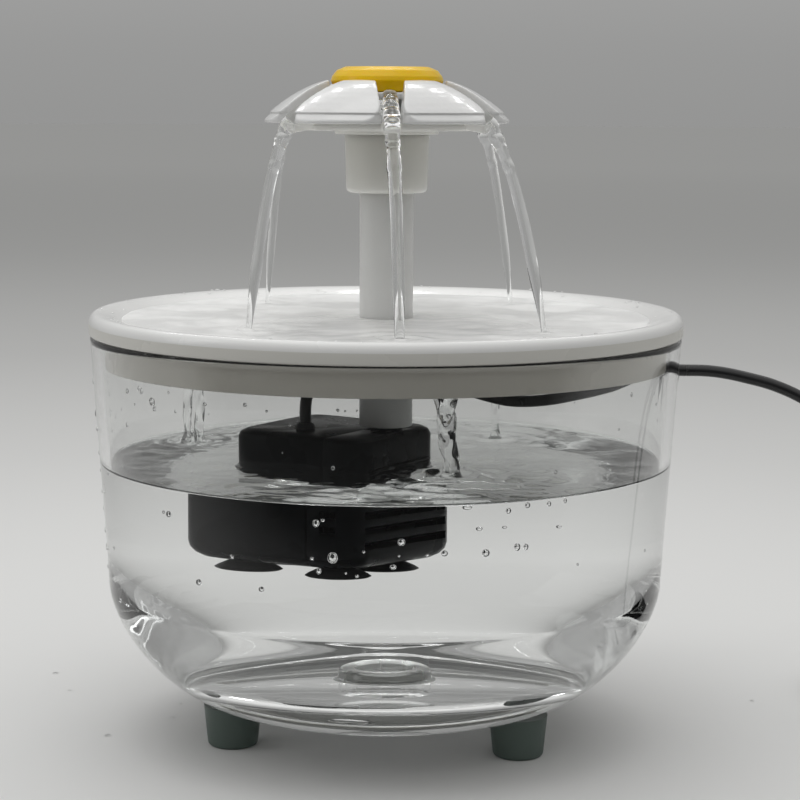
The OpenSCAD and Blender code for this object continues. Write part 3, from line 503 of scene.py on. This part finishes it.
# close pairs of rings beside each round, which keep the shading of the long faces straight
outerRings = [(wallAt(top - below, 0), top - below) for below in (2.2, 1.5)]
innerRings = [(wallAt(top - below, tankForm["wall"]), top - below) for below in (1.6, 2.2)]
floorRings = [(boss + out, foot + tankForm["floor"]) for out in (2.6, 1.6)]
clearOfRim = top - 2.5
dry = recess + [p for p in outerCurve if p[1] < clearOfRim] + outerRings + rimArc + innerRings
dry += [p for p in innerCurve[::-1] if waterLine < p[1] < clearOfRim]
wet = [(wallAt(waterLine, tankForm["wall"]), waterLine)] + [p for p in innerCurve[-2::-1] if p[1] < waterLine]
wet += floorRings + bossEdge
tank = lathe("tankShell", dry + wet, columns, closed=False)
for vert in tank.data.vertices:
    # the cable notch: the rim dips to a half round at its bottom
    x, y, z = (c / mm for c in vert.co)
    notch, start = tankForm["notch"], tankForm["notchStart"]
    if x > 0 and abs(y) < notch * 1.04 and z > start:
        low = tankForm["notchBottom"] - math.sqrt(max(0, notch ** 2 - y * y))
        vert.co.z = (start + (z - start) / (top - start) * (low - start)) * mm


def clearMaterial(name, ior, tint, rough, scale):
    mat, nodes, links, shader = newMaterial(name)
    cloud = grain(nodes, links, scale, 3)
    mixedColour(nodes, links, cloud.outputs["Fac"], tint, [c * 1.01 for c in tint], shader)
    shader.inputs["Transmission Weight"].default_value = 1
    shader.inputs["IOR"].default_value = ior
    links.new(spread(nodes, links, cloud.outputs["Fac"], 0.0, rough), shader.inputs["Roughness"])
    return mat


# where the wall is wet inside, light passes from plastic to water; the boss in the floor is left matt by its mould
bends = {"plastic": 1.49, "water": 1.333}
wetBend = bends["plastic"] / bends["water"]
dress(tank, clearMaterial("clearPlastic", bends["plastic"], (0.978, 0.983, 0.98), 0.012, 30))
for mat in (clearMaterial("wetPlastic", wetBend, (0.985, 0.99, 0.988), 0.0, 30),
            clearMaterial("mattPlastic", wetBend, (0.74, 0.75, 0.74), 0.5, 30),
            clearMaterial("dryPlastic", bends["plastic"], (0.935, 0.94, 0.937), 0.012, 30)):
    tank.data.materials.append(mat)
for face in tank.data.polygons:
    if face.index // columns >= len(dry):
        face.material_index = 1
    if face.index // columns >= len(dry) + len(wet) - len(bossEdge):
        face.material_index = 2
    if face.center.z > waterLine * mm:
        face.material_index = 3
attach(tank, "tank")
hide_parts("tank")
print("tank")


# water

def waterHeight(x, y):
    # rings that run out from each drip, over a low uneven chop
    h = fill["chop"] * noise.noise(Vector((x * 0.055, y * 0.085, 2.3)))
    h += 0.4 * fill["chop"] * noise.noise(Vector((x * 0.17, y * 0.2, 9.1)))
    for cx, cy, wave, size, reach in fill["rings"]:
        d = math.hypot(x - cx, y - cy)
        uneven = 1 + 0.5 * noise.noise(Vector((x * 0.06, y * 0.06, 5.5)))
        h += size * uneven * math.cos(2 * math.pi * d / (wave * (1 + d * 0.012))) * math.exp(-d / reach)
    return h


wallR = wallAt(waterLine, tankForm["wall"]) + 0.03
meniscus = [(0, 1.0), (0.12, 0.8), (0.3, 0.6), (0.6, 0.42), (1.0, 0.28), (1.6, 0.15), (2.4, 0.06), (3.4, 0.02)]
surface = [(wallR - r, rise * fill["climb"]) for r, rise in meniscus]
surface += [(r, 0) for r in np.linspace(wallR - 4.4, 0, fill["ringCount"])]
steps = fill["steps"]
verts, faces = [], []
for r, rise in surface:
    calm = min(1, max(0, (wallR - 1.5 - r) / 5))
    for k in range(steps):
        x, y = r * math.cos(2 * math.pi * k / steps), r * math.sin(2 * math.pi * k / steps)
        verts.append((x * mm, y * mm, (fill["level"] + rise + calm * waterHeight(x, y)) * mm))
for i in range(len(surface) - 2):
    for k in range(steps):
        j = (k + 1) % steps
        faces.append((i * steps + k, i * steps + j, (i + 1) * steps + j, (i + 1) * steps + k))
middle = len(verts) - steps
del verts[middle + 1:]
faces += [(middle - steps + k, middle - steps + (k + 1) % steps, middle) for k in range(steps)]
tankWater = newObject("tankWater", verts, faces, 60)
if tankWater.data.polygons[0].normal.z < 0:
    tankWater.data.flip_normals()
# the surface is tinted, which stands in for the dark room that real water mirrors
clearWater = clearMaterial("clearWater", bends["water"], (0.50, 0.515, 0.505), 0.0, 60)
streamWater = clearMaterial("streamWater", bends["water"], (0.985, 0.99, 0.988), 0.0, 60)
dress(tankWater, clearWater)
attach(tankWater, "tank")
print("water")


# lid

lidForm = {"radius": 90, "flange": 124.2, "edge": 3, "crest": 3.3, "crestIn": 2.4, "fall": 12, "dish": 127.4,
           "under": 124.8, "skirt": 85.2, "skirtWall": 2.2, "skirtFoot": 115, "bore": 8.2, "rib": 60.3, "ribWall": 1.5,
           "ribFoot": 121.2}


def lidProfile():
    f = lidForm
    crestR = f["radius"] - f["crestIn"]
    crestZ = f["flange"] + f["edge"] + f["crest"]
    under = fillet([(f["bore"], f["under"]), (f["rib"], f["under"]), (f["rib"], f["ribFoot"]),
                    (f["rib"] + f["ribWall"], f["ribFoot"]), (f["rib"] + f["ribWall"], f["under"]),
                    (f["skirt"] - f["skirtWall"], f["under"]), (f["skirt"] - f["skirtWall"], f["skirtFoot"]),
                    (f["skirt"], f["skirtFoot"]), (f["skirt"], f["flange"]), (f["radius"], f["flange"]),
                    (f["radius"], f["flange"] + f["edge"])],
                   [0, 0.5, 0.4, 0.4, 0.5, 0.8, 0.5, 0.5, 0.3, 0.6, 0])
    over = [(crestR + f["crestIn"] * math.cos(a), f["flange"] + f["edge"] + f["crest"] * math.sin(a))
            for a in (math.radians(b) for b in np.linspace(0, 90, 14))]
    fall = [(crestR - f["fall"] * t, f["dish"] + (crestZ - f["dish"]) * (1 + math.cos(math.pi * t)) / 2)
            for t in np.linspace(0, 1, 20)[1:]]
    return under[:-1] + over + fall + [(f["bore"] + 1, f["dish"]), (f["bore"], f["dish"] - 0.4)]


whitePlastic = moulded("whitePlastic", (0.87, 0.87, 0.86), 0.22, vary=0.06, speckle=0.012, scale=30, bump=0.03,
                       Coat_Weight=0.25, Coat_Roughness=0.08)
# little light comes through the clear wall to the skirt and the flange's underside, so the skirt's lower faces get a
# darker, warmer copy of the white plastic as painted shade, with a faint painted glow
shadedPlastic = moulded("shadedPlastic", (0.80, 0.775, 0.70), 0.3, vary=0.06, speckle=0.02, scale=30, bump=0.03,
                        Emission_Strength=0.035, Emission_Color=(1, 0.96, 0.88, 1))
# the rim's outer band: a darker, warmer copy of the white plastic as painted shade
rimShadePlastic = moulded("rimShadePlastic", (0.72, 0.71, 0.665), 0.26, vary=0.06, speckle=0.02, scale=30, bump=0.03)
# the flange's underside and the skirt's top: a paler copy of the white plastic with a painted glow
glowPlastic = moulded("glowPlastic", (0.92, 0.92, 0.90), 0.3, vary=0.06, speckle=0.02, scale=30, bump=0.03,
                      Emission_Strength=0.06, Emission_Color=(1, 0.97, 0.9, 1))
lid = lathe("lidDish", lidProfile(), 256)
dress(lid, whitePlastic)
for mat in (shadedPlastic, rimShadePlastic, glowPlastic):
    lid.data.materials.append(mat)
# the lowest faces under the lid take the painted-shade copy, the rim's outer band its painted-shade copy, and the
# flange's underside the painted-glow copy
for face in lid.data.polygons:
    height, out = face.center.z / mm, face.center.xy.length / mm
    if height < lidForm["flange"] - 3.2:
        face.material_index = 1
    elif out > lidForm["radius"] - 1 and height < lidForm["flange"] + lidForm["edge"] + 0.4:
        face.material_index = 2
    elif height < lidForm["flange"] + 0.5:
        face.material_index = 3
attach(lid, "lid")
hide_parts("lid_tray")

milkyPlastic = moulded("milkyPlastic", (0.78, 0.78, 0.76), 0.34, vary=0.06, speckle=0.02, scale=40, bump=0.04,
                       IOR=1.49, Subsurface_Weight=0.6, Subsurface_Scale=0.008,
                       Subsurface_Radius=(1, 1, 1))
riserForm = [(6.35, 95.4), (8.15, 95.4), (8.15, 122.8), (11.5, 122.8), (11.5, 124.8), (8.15, 124.8), (8.15, 181.2),
             (6.35, 181.2)]
riser = lathe("riserTube", fillet(riserForm, 0.5), 96)
dress(riser, milkyPlastic)
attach(riser, "lid")
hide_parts("riser_tube")
print("lid")


# flower

frosted = moulded("frostedPlastic", (0.80, 0.79, 0.73), 0.4, vary=0.05, speckle=0.02, scale=40, bump=0.05,
                  IOR=1.49, Subsurface_Weight=0.8, Subsurface_Scale=0.012,
                  Subsurface_Radius=(1, 1, 1))
adaptorForm = fillet([(8.2, 166.4), (12.25, 166.4), (12.7, 183.9), (6.35, 183.9), (6.35, 181.4), (8.2, 181.4)],
                     [0.3, 1.6, 0.3, 0, 0, 0.2])
adaptor = lathe("flowerAdaptor", adaptorForm, 128)
dress(adaptor, frosted)
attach(adaptor, "flower")
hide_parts("tube_adaptor")

basin = softCopy("flowerBasin", ["flower_basin"], 0.35, 3)
dress(basin, frosted)
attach(basin, "flower")
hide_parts("flower_basin")

petals = softCopy("petalShells", ["flower_petals"], 0.3, 9)
petalLip = {"crease": 190.5, "soft": 0.5, "step": 0.85, "from": 30, "over": 4}
for vert in petals.data.vertices:
    # under the crease along its outer edge, each petal steps back to a thinner lip
    x, y, z = (c / mm for c in vert.co)
    out = math.hypot(x, y)
    if out > petalLip["from"]:
        below = min(1, max(0, (petalLip["crease"] - z) / petalLip["soft"]))
        step = petalLip["step"] * below * min(1, (out - petalLip["from"]) / petalLip["over"])
        vert.co.x -= step * mm * x / out
        vert.co.y -= step * mm * y / out
petalWhite = moulded("petalWhite", (0.80, 0.80, 0.795), 0.2, vary=0.05, speckle=0.01, scale=40, bump=0.5, fine=330,
                     Coat_Weight=0.4, Coat_Roughness=0.06, Subsurface_Weight=0.2, Subsurface_Scale=0.002,
                     Subsurface_Radius=(1, 1, 1))
dress(petals, petalWhite)
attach(petals, "flower")
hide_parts("flower_petals")

yellowPlastic = moulded("yellowPlastic", (0.98, 0.60, 0.001), 0.26, vary=0.06, speckle=0.03, scale=50, bump=0.05,
                        Specular_IOR_Level=0.3, Subsurface_Weight=0.3, Subsurface_Scale=0.003,
                        Subsurface_Radius=(1, 0.6, 0.1))
centreForm = fillet([(0, 203.5), (10.5, 203.5), (11.7, 204.0), (12.5, 204.0), (15.2, 202.9), (16.6, 201.1), (17, 199.8),
                     (15.6, 196.6), (14, 196.6), (14.8, 199.8), (10.9, 201.8), (6.7, 201.8), (6.7, 194.2), (5.1, 194.2),
                     (5.1, 201.8), (0, 201.8)], 0.7)
centre = lathe("flowerCentre", centreForm, 160, closed=False)
dress(centre, yellowPlastic)
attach(centre, "centre")
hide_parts("flower_centre")
print("flower")


# pump

def bevelled(name, node, width, body, mat):
    # a CAD solid with its edges broken by a small round
    obj = bpy.data.objects.new(name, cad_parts[node].data.copy())
    scene.collection.objects.link(obj)
    weld = obj.modifiers.new("weld", "WELD")
    weld.merge_threshold = 0.01 * mm
    bevel = obj.modifiers.new("bevel", "BEVEL")
    bevel.width = width * mm
    bevel.segments = 3
    bevel.limit_method = "ANGLE"
    bevel.angle_limit = math.radians(38)
    bevel.use_clamp_overlap = True
    applyModifiers(obj)
    obj.data.shade_smooth()
    obj.data.set_sharp_from_angle(angle=math.radians(40))
    dress(obj, mat)
    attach(obj, body)
    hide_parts(node)


pumpBlack = moulded("pumpBlack", (0.003, 0.004, 0.005), 0.3, vary=0.08, speckle=0.2, scale=80, bump=0.08,
                    Specular_IOR_Level=0.07)
bevelled("pumpShell", "pump_housing", 0.35, "pump", pumpBlack)
bevelled("intakeCover", "intake_cover", 0.3, "cover", pumpBlack)
print("pump")


# running water

# radius from the axis, height, width and thickness of the water on its way over the basin
spoutRun = [(14.5, 196.2, 2.0, 1.0), (17.5, 195.9, 2.2, 1.3), (21, 194.6, 2.3, 1.6), (25, 192.8, 2.35, 1.9),
            (29, 190.8, 2.4, 2.1), (32, 189.0, 2.45, 2.2), (34.6, 186.6, 2.3, 2.3), (35.9, 183.6, 2.15, 2.2)]
streams = [
    {"name": "frontStream", "bearing": -87.5, "land": (3.8, -61.5), "wide": 2.05, "thin": 1.7, "end": 1.45},
    {"name": "rightFrontStream", "bearing": -27.5, "land": (45.4, -40.8), "wide": 1.9, "thin": 1.85, "end": 0.8},
    {"name": "rightRearStream", "bearing": 32.5, "land": (40.4, 43), "wide": 1.7, "thin": 1.35, "end": 0.7},
    {"name": "rearStream", "bearing": 92.5, "land": (-2.7, 60), "wide": 1.9, "thin": 1.6, "end": 1.0},
    {"name": "leftRearStream", "bearing": 152.5, "land": (-38.5, 43), "wide": 1.8, "thin": 1.35, "end": 0.7},
    {"name": "leftFrontStream", "bearing": 212.5, "land": (-39.5, -40.8), "wide": 1.9, "thin": 1.8, "end": 0.9},
]
filmTop = 128.5
streamForm = {"runSteps": 5, "fallSteps": 60, "pace": 0.26, "sides": 28, "wobble": 0.05}


def streamRoute(stream):
    # over the basin in the slot between two petals, off the lip, then down along a falling curve
    a = math.radians(stream["bearing"])
    run = [Vector((r * math.cos(a), r * math.sin(a), z)) for r, z, wide, high in spoutRun]
    start = run[-1]
    land = Vector((*stream["land"], filmTop - 0.6))
    fall = []
    count, t0 = streamForm["fallSteps"], streamForm["pace"]
    for i in range(1, count + 1):
        # the drop grows with the square of time, from the pace it has at the lip
        t = i / count
        depth = ((t0 + (1 - t0) * t) ** 2 - t0 ** 2) / (1 - t0 ** 2)
        p = start.lerp(land, t)
        p.z = start.z + (land.z - start.z) * depth
        fall.append(p)
    return smoothRoute(run, streamForm["runSteps"])[:-1] + [run[-1]] + fall


for index, stream in enumerate(streams):
    points = streamRoute(stream)
    radii = []
    fallCount = streamForm["fallSteps"]
    runSteps = len(points) - fallCount
    for i in range(runSteps):
        at = i / streamForm["runSteps"]
        k = min(int(at), len(spoutRun) - 2)
        u = at - k
        wide = spoutRun[k][2] * (1 - u) + spoutRun[k + 1][2] * u
        high = spoutRun[k][3] * (1 - u) + spoutRun[k + 1][3] * u
        ripple = 1 + 0.05 * math.sin(i * 1.3) * min(1, i / 8)
        radii.append((wide, high * ripple))
    for i in range(1, fallCount + 1):
        t = i / fallCount
        wide = easeBetween([(0, 2.15), (0.12, stream["wide"]), (0.75, stream["thin"]), (1, stream["end"])], t)
        bead = 0.13 * math.exp(-((t - 0.27) / 0.02) ** 2) + 0.10 * math.exp(-((t - 0.06) / 0.025) ** 2)
        wide *= 1 + bead
        radii.append((wide, wide * easeBetween([(0, 1.0), (0.3, 0.8), (1, 0.95)], t)))
    a = math.radians(stream["bearing"])
    water = tube(stream["name"], points, radii, sides=streamForm["sides"], across=(-math.sin(a), math.cos(a), 0),
                 wobble=streamForm["wobble"], seed=index + 1)
    dress(water, streamWater)
    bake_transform(water)

# the film on the dish, with rings round each stream and an uneven chop
film = {"inner": 8.15, "outer": 80.3, "rings": 150, "steps": 480, "ringSize": 0.34, "ringReach": 11}


def filmHeight(x, y):
    # broad uneven waves, calm in front of the tube
    h = 0.6 * noise.noise(Vector((x * 0.05, y * 0.08, 4.1))) + 0.3 * noise.noise(Vector((x * 0.12, y * 0.18, 1.7)))
    h += 0.04 * noise.noise(Vector((x * 0.35, y * 0.4, 7.7)))
    h *= 1.5 - 1.35 * math.exp(-((x - 2) / 30) ** 4 - ((y + 38) / 42) ** 4)
    for stream in streams:
        lx, ly = stream["land"]
        d = math.hypot(x - lx, y - ly)
        uneven = 1 + 0.7 * noise.noise(Vector((x * 0.09, y * 0.09, 8.3)))
        ring = math.cos(2 * math.pi * d / (6.5 + 0.1 * d)) * math.exp(-d / film["ringReach"])
        h += film["ringSize"] * uneven * ring
    return h


verts, faces = [], []
span = film["outer"] - film["inner"]
for j in range(film["rings"] + 1):
    r = film["inner"] + span * j / film["rings"]
    for k in range(film["steps"]):
        a = 2 * math.pi * k / film["steps"]
        x, y = r * math.cos(a), r * math.sin(a)
        calm = min(1, (r - film["inner"]) / 3) * min(1, (film["outer"] - r) / 5)
        shore = 1.2 * noise.noise(Vector((math.cos(a) * 5, math.sin(a) * 5, 3.3))) * (j == film["rings"])
        z = max(filmTop + calm * filmHeight(x, y), lidForm["dish"] + 0.25)
        verts.append((x * (1 + shore / r) * mm, y * (1 + shore / r) * mm, z * mm))
for k in range(film["steps"]):
    a = 2 * math.pi * k / film["steps"]
    for r, z in ((film["outer"] + 0.6, filmTop - 0.8), (film["inner"] + 0.1, lidForm["dish"] - 0.5)):
        verts.append((r * math.cos(a) * mm, r * math.sin(a) * mm, z * mm))
n = film["steps"]
for j in range(film["rings"]):
    for k in range(n):
        m = (k + 1) % n
        faces.append((j * n + k, j * n + m, (j + 1) * n + m, (j + 1) * n + k))
lastRing, base = film["rings"] * n, (film["rings"] + 1) * n
for k in range(n):
    m = (k + 1) % n
    faces.append((lastRing + k, lastRing + m, base + 2 * m, base + 2 * k))
    faces.append((base + 2 * k, base + 2 * m, base + 2 * m + 1, base + 2 * k + 1))
    faces.append((base + 2 * k + 1, base + 2 * m + 1, m, k))
dishFilm = newObject("dishFilm", verts, faces, 50)
wetWhite, nodes, links, shader = newMaterial("wetWhite")
shader.inputs["IOR"].default_value = bends["water"]
cloud = grain(nodes, links, 45)
tone = rampOf(nodes, [(0.0, 0.74), (0.42, 0.80), (0.56, 0.95), (1.0, 0.95)], 0, 1, "LINEAR")
links.new(cloud.outputs["Fac"], tone.inputs["Fac"])
links.new(tone.outputs["Color"], shader.inputs["Base Color"])
away = nodes.new("ShaderNodeVectorMath")
away.operation = "DISTANCE"
away.inputs[1].default_value = (0.002, -0.035, filmTop * mm)
coords = nodes.new("ShaderNodeTexCoord")
links.new(coords.outputs["Object"], away.inputs[0])
links.new(spread(nodes, links, away.outputs["Value"], 0.04, 0.34, 0.028, 0.05), shader.inputs["Roughness"])
bumpFrom(nodes, links, grain(nodes, links, 240, 2).outputs["Fac"], shader, 0.12, 0.3)
dress(dishFilm, wetWhite)
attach(dishFilm, "lid")

# water that drains from under the lid back into the tank
drips = [
    {"name": "rightDrain", "at": (19.4, -30), "lean": (-2.2, 0),
     "stops": [(0, 4.3), (0.35, 3.6), (0.6, 2.6), (0.8, 2.2), (0.93, 2.4), (1, 3.9)],
     "flat": 0.6, "twist": 240, "wobble": 0.5, "sway": 1.0},
    {"name": "leftDrainOne", "at": (-64.5, 32), "lean": (0.6, 0),
     "stops": [(0, 1.9), (0.3, 1.5), (0.85, 1.4), (1, 2.2)],
     "flat": 0.7, "twist": 120, "wobble": 0.5, "sway": 0.5},
    {"name": "leftDrainTwo", "at": (-60.6, 33), "lean": (0.3, 0),
     "stops": [(0, 1.9), (0.4, 1.5), (0.85, 1.5), (1, 2.3)],
     "flat": 0.7, "twist": 90, "wobble": 0.5, "sway": 0.5},
    {"name": "rearDrain", "at": (36, 42), "lean": (0, 0),
     "stops": [(0, 2.2), (0.4, 1.5), (0.85, 1.3), (1, 2.2)],
     "flat": 0.7, "twist": 150, "wobble": 0.4, "sway": 0.6},
]
dripForm = {"steps": 40, "top": 115.2, "under": 1.2, "sides": 28}
for index, drip in enumerate(drips):
    count = dripForm["steps"]
    low, high = fill["level"] - dripForm["under"], dripForm["top"]
    points, radii = [], []
    for i in range(count + 1):
        t = i / count
        sway = drip["sway"] * noise.noise(Vector((t * 2.4, index * 3.0, 0.4)))
        points.append(Vector((drip["at"][0] + sway + drip["lean"][0] * (1 - t), drip["at"][1] + sway * 0.6,
                              high + (low - high) * t)))
        wide = easeBetween(drip["stops"], t)
        radii.append((wide, wide * (drip["flat"] + (1 - drip["flat"]) * t)))
    water = tube(drip["name"], points, radii, sides=dripForm["sides"], wobble=drip["wobble"], seed=index + 20,
                 twist=drip["twist"])
    dress(water, streamWater)
    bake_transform(water)
print("running water")


# drops and bubbles

def dropRadius(z, inset):
    # where a drop sits on the bowl or on the wall, which is taken as straight
    t = tankForm
    shoulder = t["foot"] + t["cornerHeight"]
    if z > shoulder:
        return t["shoulder"] + (t["rim"] - t["shoulder"]) * (z - shoulder) / (t["top"] - shoulder) - inset
    rise = min(1, (shoulder - z) / (t["cornerHeight"] - inset))
    a = math.acos(rise ** (t["bulge"] / 2))
    return t["shoulder"] - t["corner"] + (t["corner"] - inset) * math.sin(a) ** (2 / t["bulge"])


def onWall(marks, inset):
    spots = []
    for bearing, z, radius in marks:
        a = math.radians(bearing)
        r = dropRadius(z, inset)
        spots.append(((r * math.cos(a), r * math.sin(a), z), (math.cos(a), math.sin(a), 0), radius))
    return spots


# a mark is bearing in degrees, height and radius
bubbleMarks = [(-136.4, 78.3, 0.9), (-103.0, 80.4, 1.0), (-101.7, 81.3, 0.5), (-99.9, 70.9, 1.5), (-87.0, 75.6, 1.0),
               (-102.6, 67.0, 0.8), (-103.9, 70.4, 0.5), (-78.8, 72.2, 0.9), (-70.7, 71.7, 1.1), (-64.2, 72.7, 1.0),
               (-62.3, 72.5, 0.8), (-114.3, 60.6, 0.8), (-129.0, 60.1, 0.9), (-66.4, 83.2, 0.8), (-62.4, 84.3, 0.8),
               (-57.6, 84.1, 0.7), (-53.8, 84.4, 0.6), (-94.0, 72.8, 0.4), (-88.5, 68.6, 0.8),
               (-137.9, 78.6, 0.5), (-95.3, 65.9, 0.5), (-82.1, 71.8, 0.5), (-87.4, 71.7, 0.35), (-97.4, 66.7, 0.35),
               (-162.1, 62.0, 0.6), (-25.6, 63.9, 0.5), (-49.6, 65.4, 0.4), (-120.6, 69.0, 0.6)]
draw = random.Random(8)
bubbleMarks += [(draw.uniform(58, 140), draw.uniform(58, 83), draw.choice((0.4, 0.5, 0.7, 0.9))) for i in range(26)]
airBubble = clearMaterial("airBubble", 0.75, (1, 1, 1), 0.0, 60)
bubbles = scatter("bubbles", onWall(bubbleMarks, 4.4), 1.0)
dress(bubbles, airBubble)
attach(bubbles, "tank")

mistMarks = [(-138.6, 110.2, 1.2), (-147.0, 111.8, 0.8), (-151.1, 89.0, 0.6), (-144.5, 108.4, 0.4),
             (-133.6, 113.6, 0.4), (-37.6, 112.2, 0.6), (-27.0, 107.6, 0.5), (-98.5, 112.0, 0.45), (-97.2, 111.8, 0.3),
             (-95.1, 112.0, 0.3)]
mistMarks += [(draw.uniform(-180, 180), draw.uniform(89, 113), draw.choice((0.25, 0.3, 0.4, 0.6))) for i in range(34)]
innerDrops = scatter("innerDrops", onWall(mistMarks, 2.95), 0.45)
dress(innerDrops, streamWater)
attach(innerDrops, "tank")

outerMarks = [(-178.5, 116, 0.9), (-177.5, 109, 1.2), (-178.8, 104.5, 1.0), (-177.9, 99, 1.3), (-178.4, 93.5, 1.1),
              (-177.2, 87, 0.9), (-178.2, 81.5, 1.2), (-177.6, 75, 1.0), (-178.3, 69.5, 1.1), (-177, 63, 0.9),
              (-178.1, 57.5, 1.2), (-177.4, 51.5, 1.0), (-178.2, 46, 1.1), (-177, 41, 0.9), (-176.4, 36, 0.8),
              (-168, 60, 0.6), (-170, 96, 0.6), (-165, 78, 0.45)]
outerMarks += [(draw.uniform(150, 182), draw.uniform(40, 115), draw.choice((0.5, 0.8, 1.0))) for i in range(22)]
outerDrops = scatter("outerDrops", onWall(outerMarks, -0.1), 0.5)
dress(outerDrops, streamWater)
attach(outerDrops, "tank")


def lidHeight(r):
    f = lidForm
    crestR = f["radius"] - f["crestIn"]
    crestZ = f["flange"] + f["edge"] + f["crest"]
    if r >= crestR:
        return f["flange"] + f["edge"] + f["crest"] * math.sqrt(max(0, 1 - ((r - crestR) / f["crestIn"]) ** 2))
    t = min(1, (crestR - r) / f["fall"])
    return f["dish"] + (crestZ - f["dish"]) * (1 + math.cos(math.pi * t)) / 2


# bearing in degrees, radius from the axis and size
lidMarks = [(130.5, 87.0, 0.9), (131.8, 87.3, 0.7), (128.9, 86.6, 0.5), (84.3, 87.2, 0.6), (82.0, 87.0, 0.5),
            (56.0, 87.3, 0.9), (49.5, 86.9, 0.6), (47.7, 87.2, 0.5), (140.5, 86.4, 0.5), (21, 85.8, 0.6),
            (24, 84.5, 0.5), (-162, 84.5, 0.6), (17, 83.2, 0.5), (-170, 82.5, 0.4)]
lidMarks += [(draw.uniform(0, 360), draw.uniform(81.5, 87.2), draw.choice((0.3, 0.4, 0.5))) for i in range(40)]
spots = [((r * math.cos(math.radians(b)), r * math.sin(math.radians(b)), lidHeight(r) + 0.05), (0, 0, 1), size)
         for b, r, size in lidMarks]
lidDrops = scatter("lidDrops", spots, 0.6)
dress(lidDrops, streamWater)
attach(lidDrops, "lid")

floorSpots = [((x, y, 0.0), (0, 0, 1), size) for x, y, size in
              ((-112, 62, 1.0), (-85, -12, 1.1), (-67, 8, 0.8), (-66, 24, 0.7), (-104, 40, 0.7), (120, 30, 0.8))]
floorDrops = scatter("floorDrops", floorSpots, 0.5)
dress(floorDrops, streamWater)
print("drops")


# finishes of the nodes that stay

finishes = {
    "cordBlack": cordBlack, "pumpBlack": pumpBlack,
    "footGrey": moulded("footGrey", (0.085, 0.115, 0.10), 0.45, vary=0.08, bump=0.1),
    "basketPlastic": moulded("basketPlastic", (0.7, 0.71, 0.69), 0.3, Transmission_Weight=0.4, IOR=1.45),
    "foam": moulded("foam", (0.03, 0.034, 0.034), 0.95, speckle=0.5, scale=1200, bump=0.9, fine=900),
    "coreSteel": moulded("coreSteel", (0.42, 0.43, 0.45), 0.35, scale=600, Metallic=1.0),
    "coilCopper": moulded("coilCopper", (0.6, 0.26, 0.12), 0.35, scale=900, Metallic=1.0),
    "potting": moulded("potting", (0.02, 0.02, 0.022), 0.55, bump=0.2),
    "ceramic": moulded("ceramic", (0.8, 0.8, 0.78), 0.12),
    "ferrite": moulded("ferrite", (0.03, 0.03, 0.032), 0.6, bump=0.3),
    "softRubber": moulded("softRubber", (0.02, 0.021, 0.023), 0.5, bump=0.15),
    "impellerGrey": moulded("impellerGrey", (0.6, 0.61, 0.61), 0.35),
    "plugSteel": moulded("plugSteel", (0.6, 0.61, 0.63), 0.22, vary=0.08, scale=300, Metallic=1.0),
}
wearers = {
    "footGrey": ["front_left_foot", "front_right_foot", "rear_foot"], "basketPlastic": ["filter_basket"],
    "foam": ["filter_pad"], "coreSteel": ["stator_core"], "coilCopper": ["stator_coil"], "potting": ["motor_potting"],
    "ceramic": ["impeller_shaft"], "ferrite": ["rotor_magnet"],
    "softRubber": ["shaft_bushes", "volute_seal", "cable_gland", "suction_cups"], "impellerGrey": ["impeller"],
    "pumpBlack": ["volute"], "cordBlack": ["usb_plug_body"], "plugSteel": ["usb_plug_shell"],
}
for finish, names in wearers.items():
    for name in names:
        dress(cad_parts[name], finishes[finish])
print("finishes")
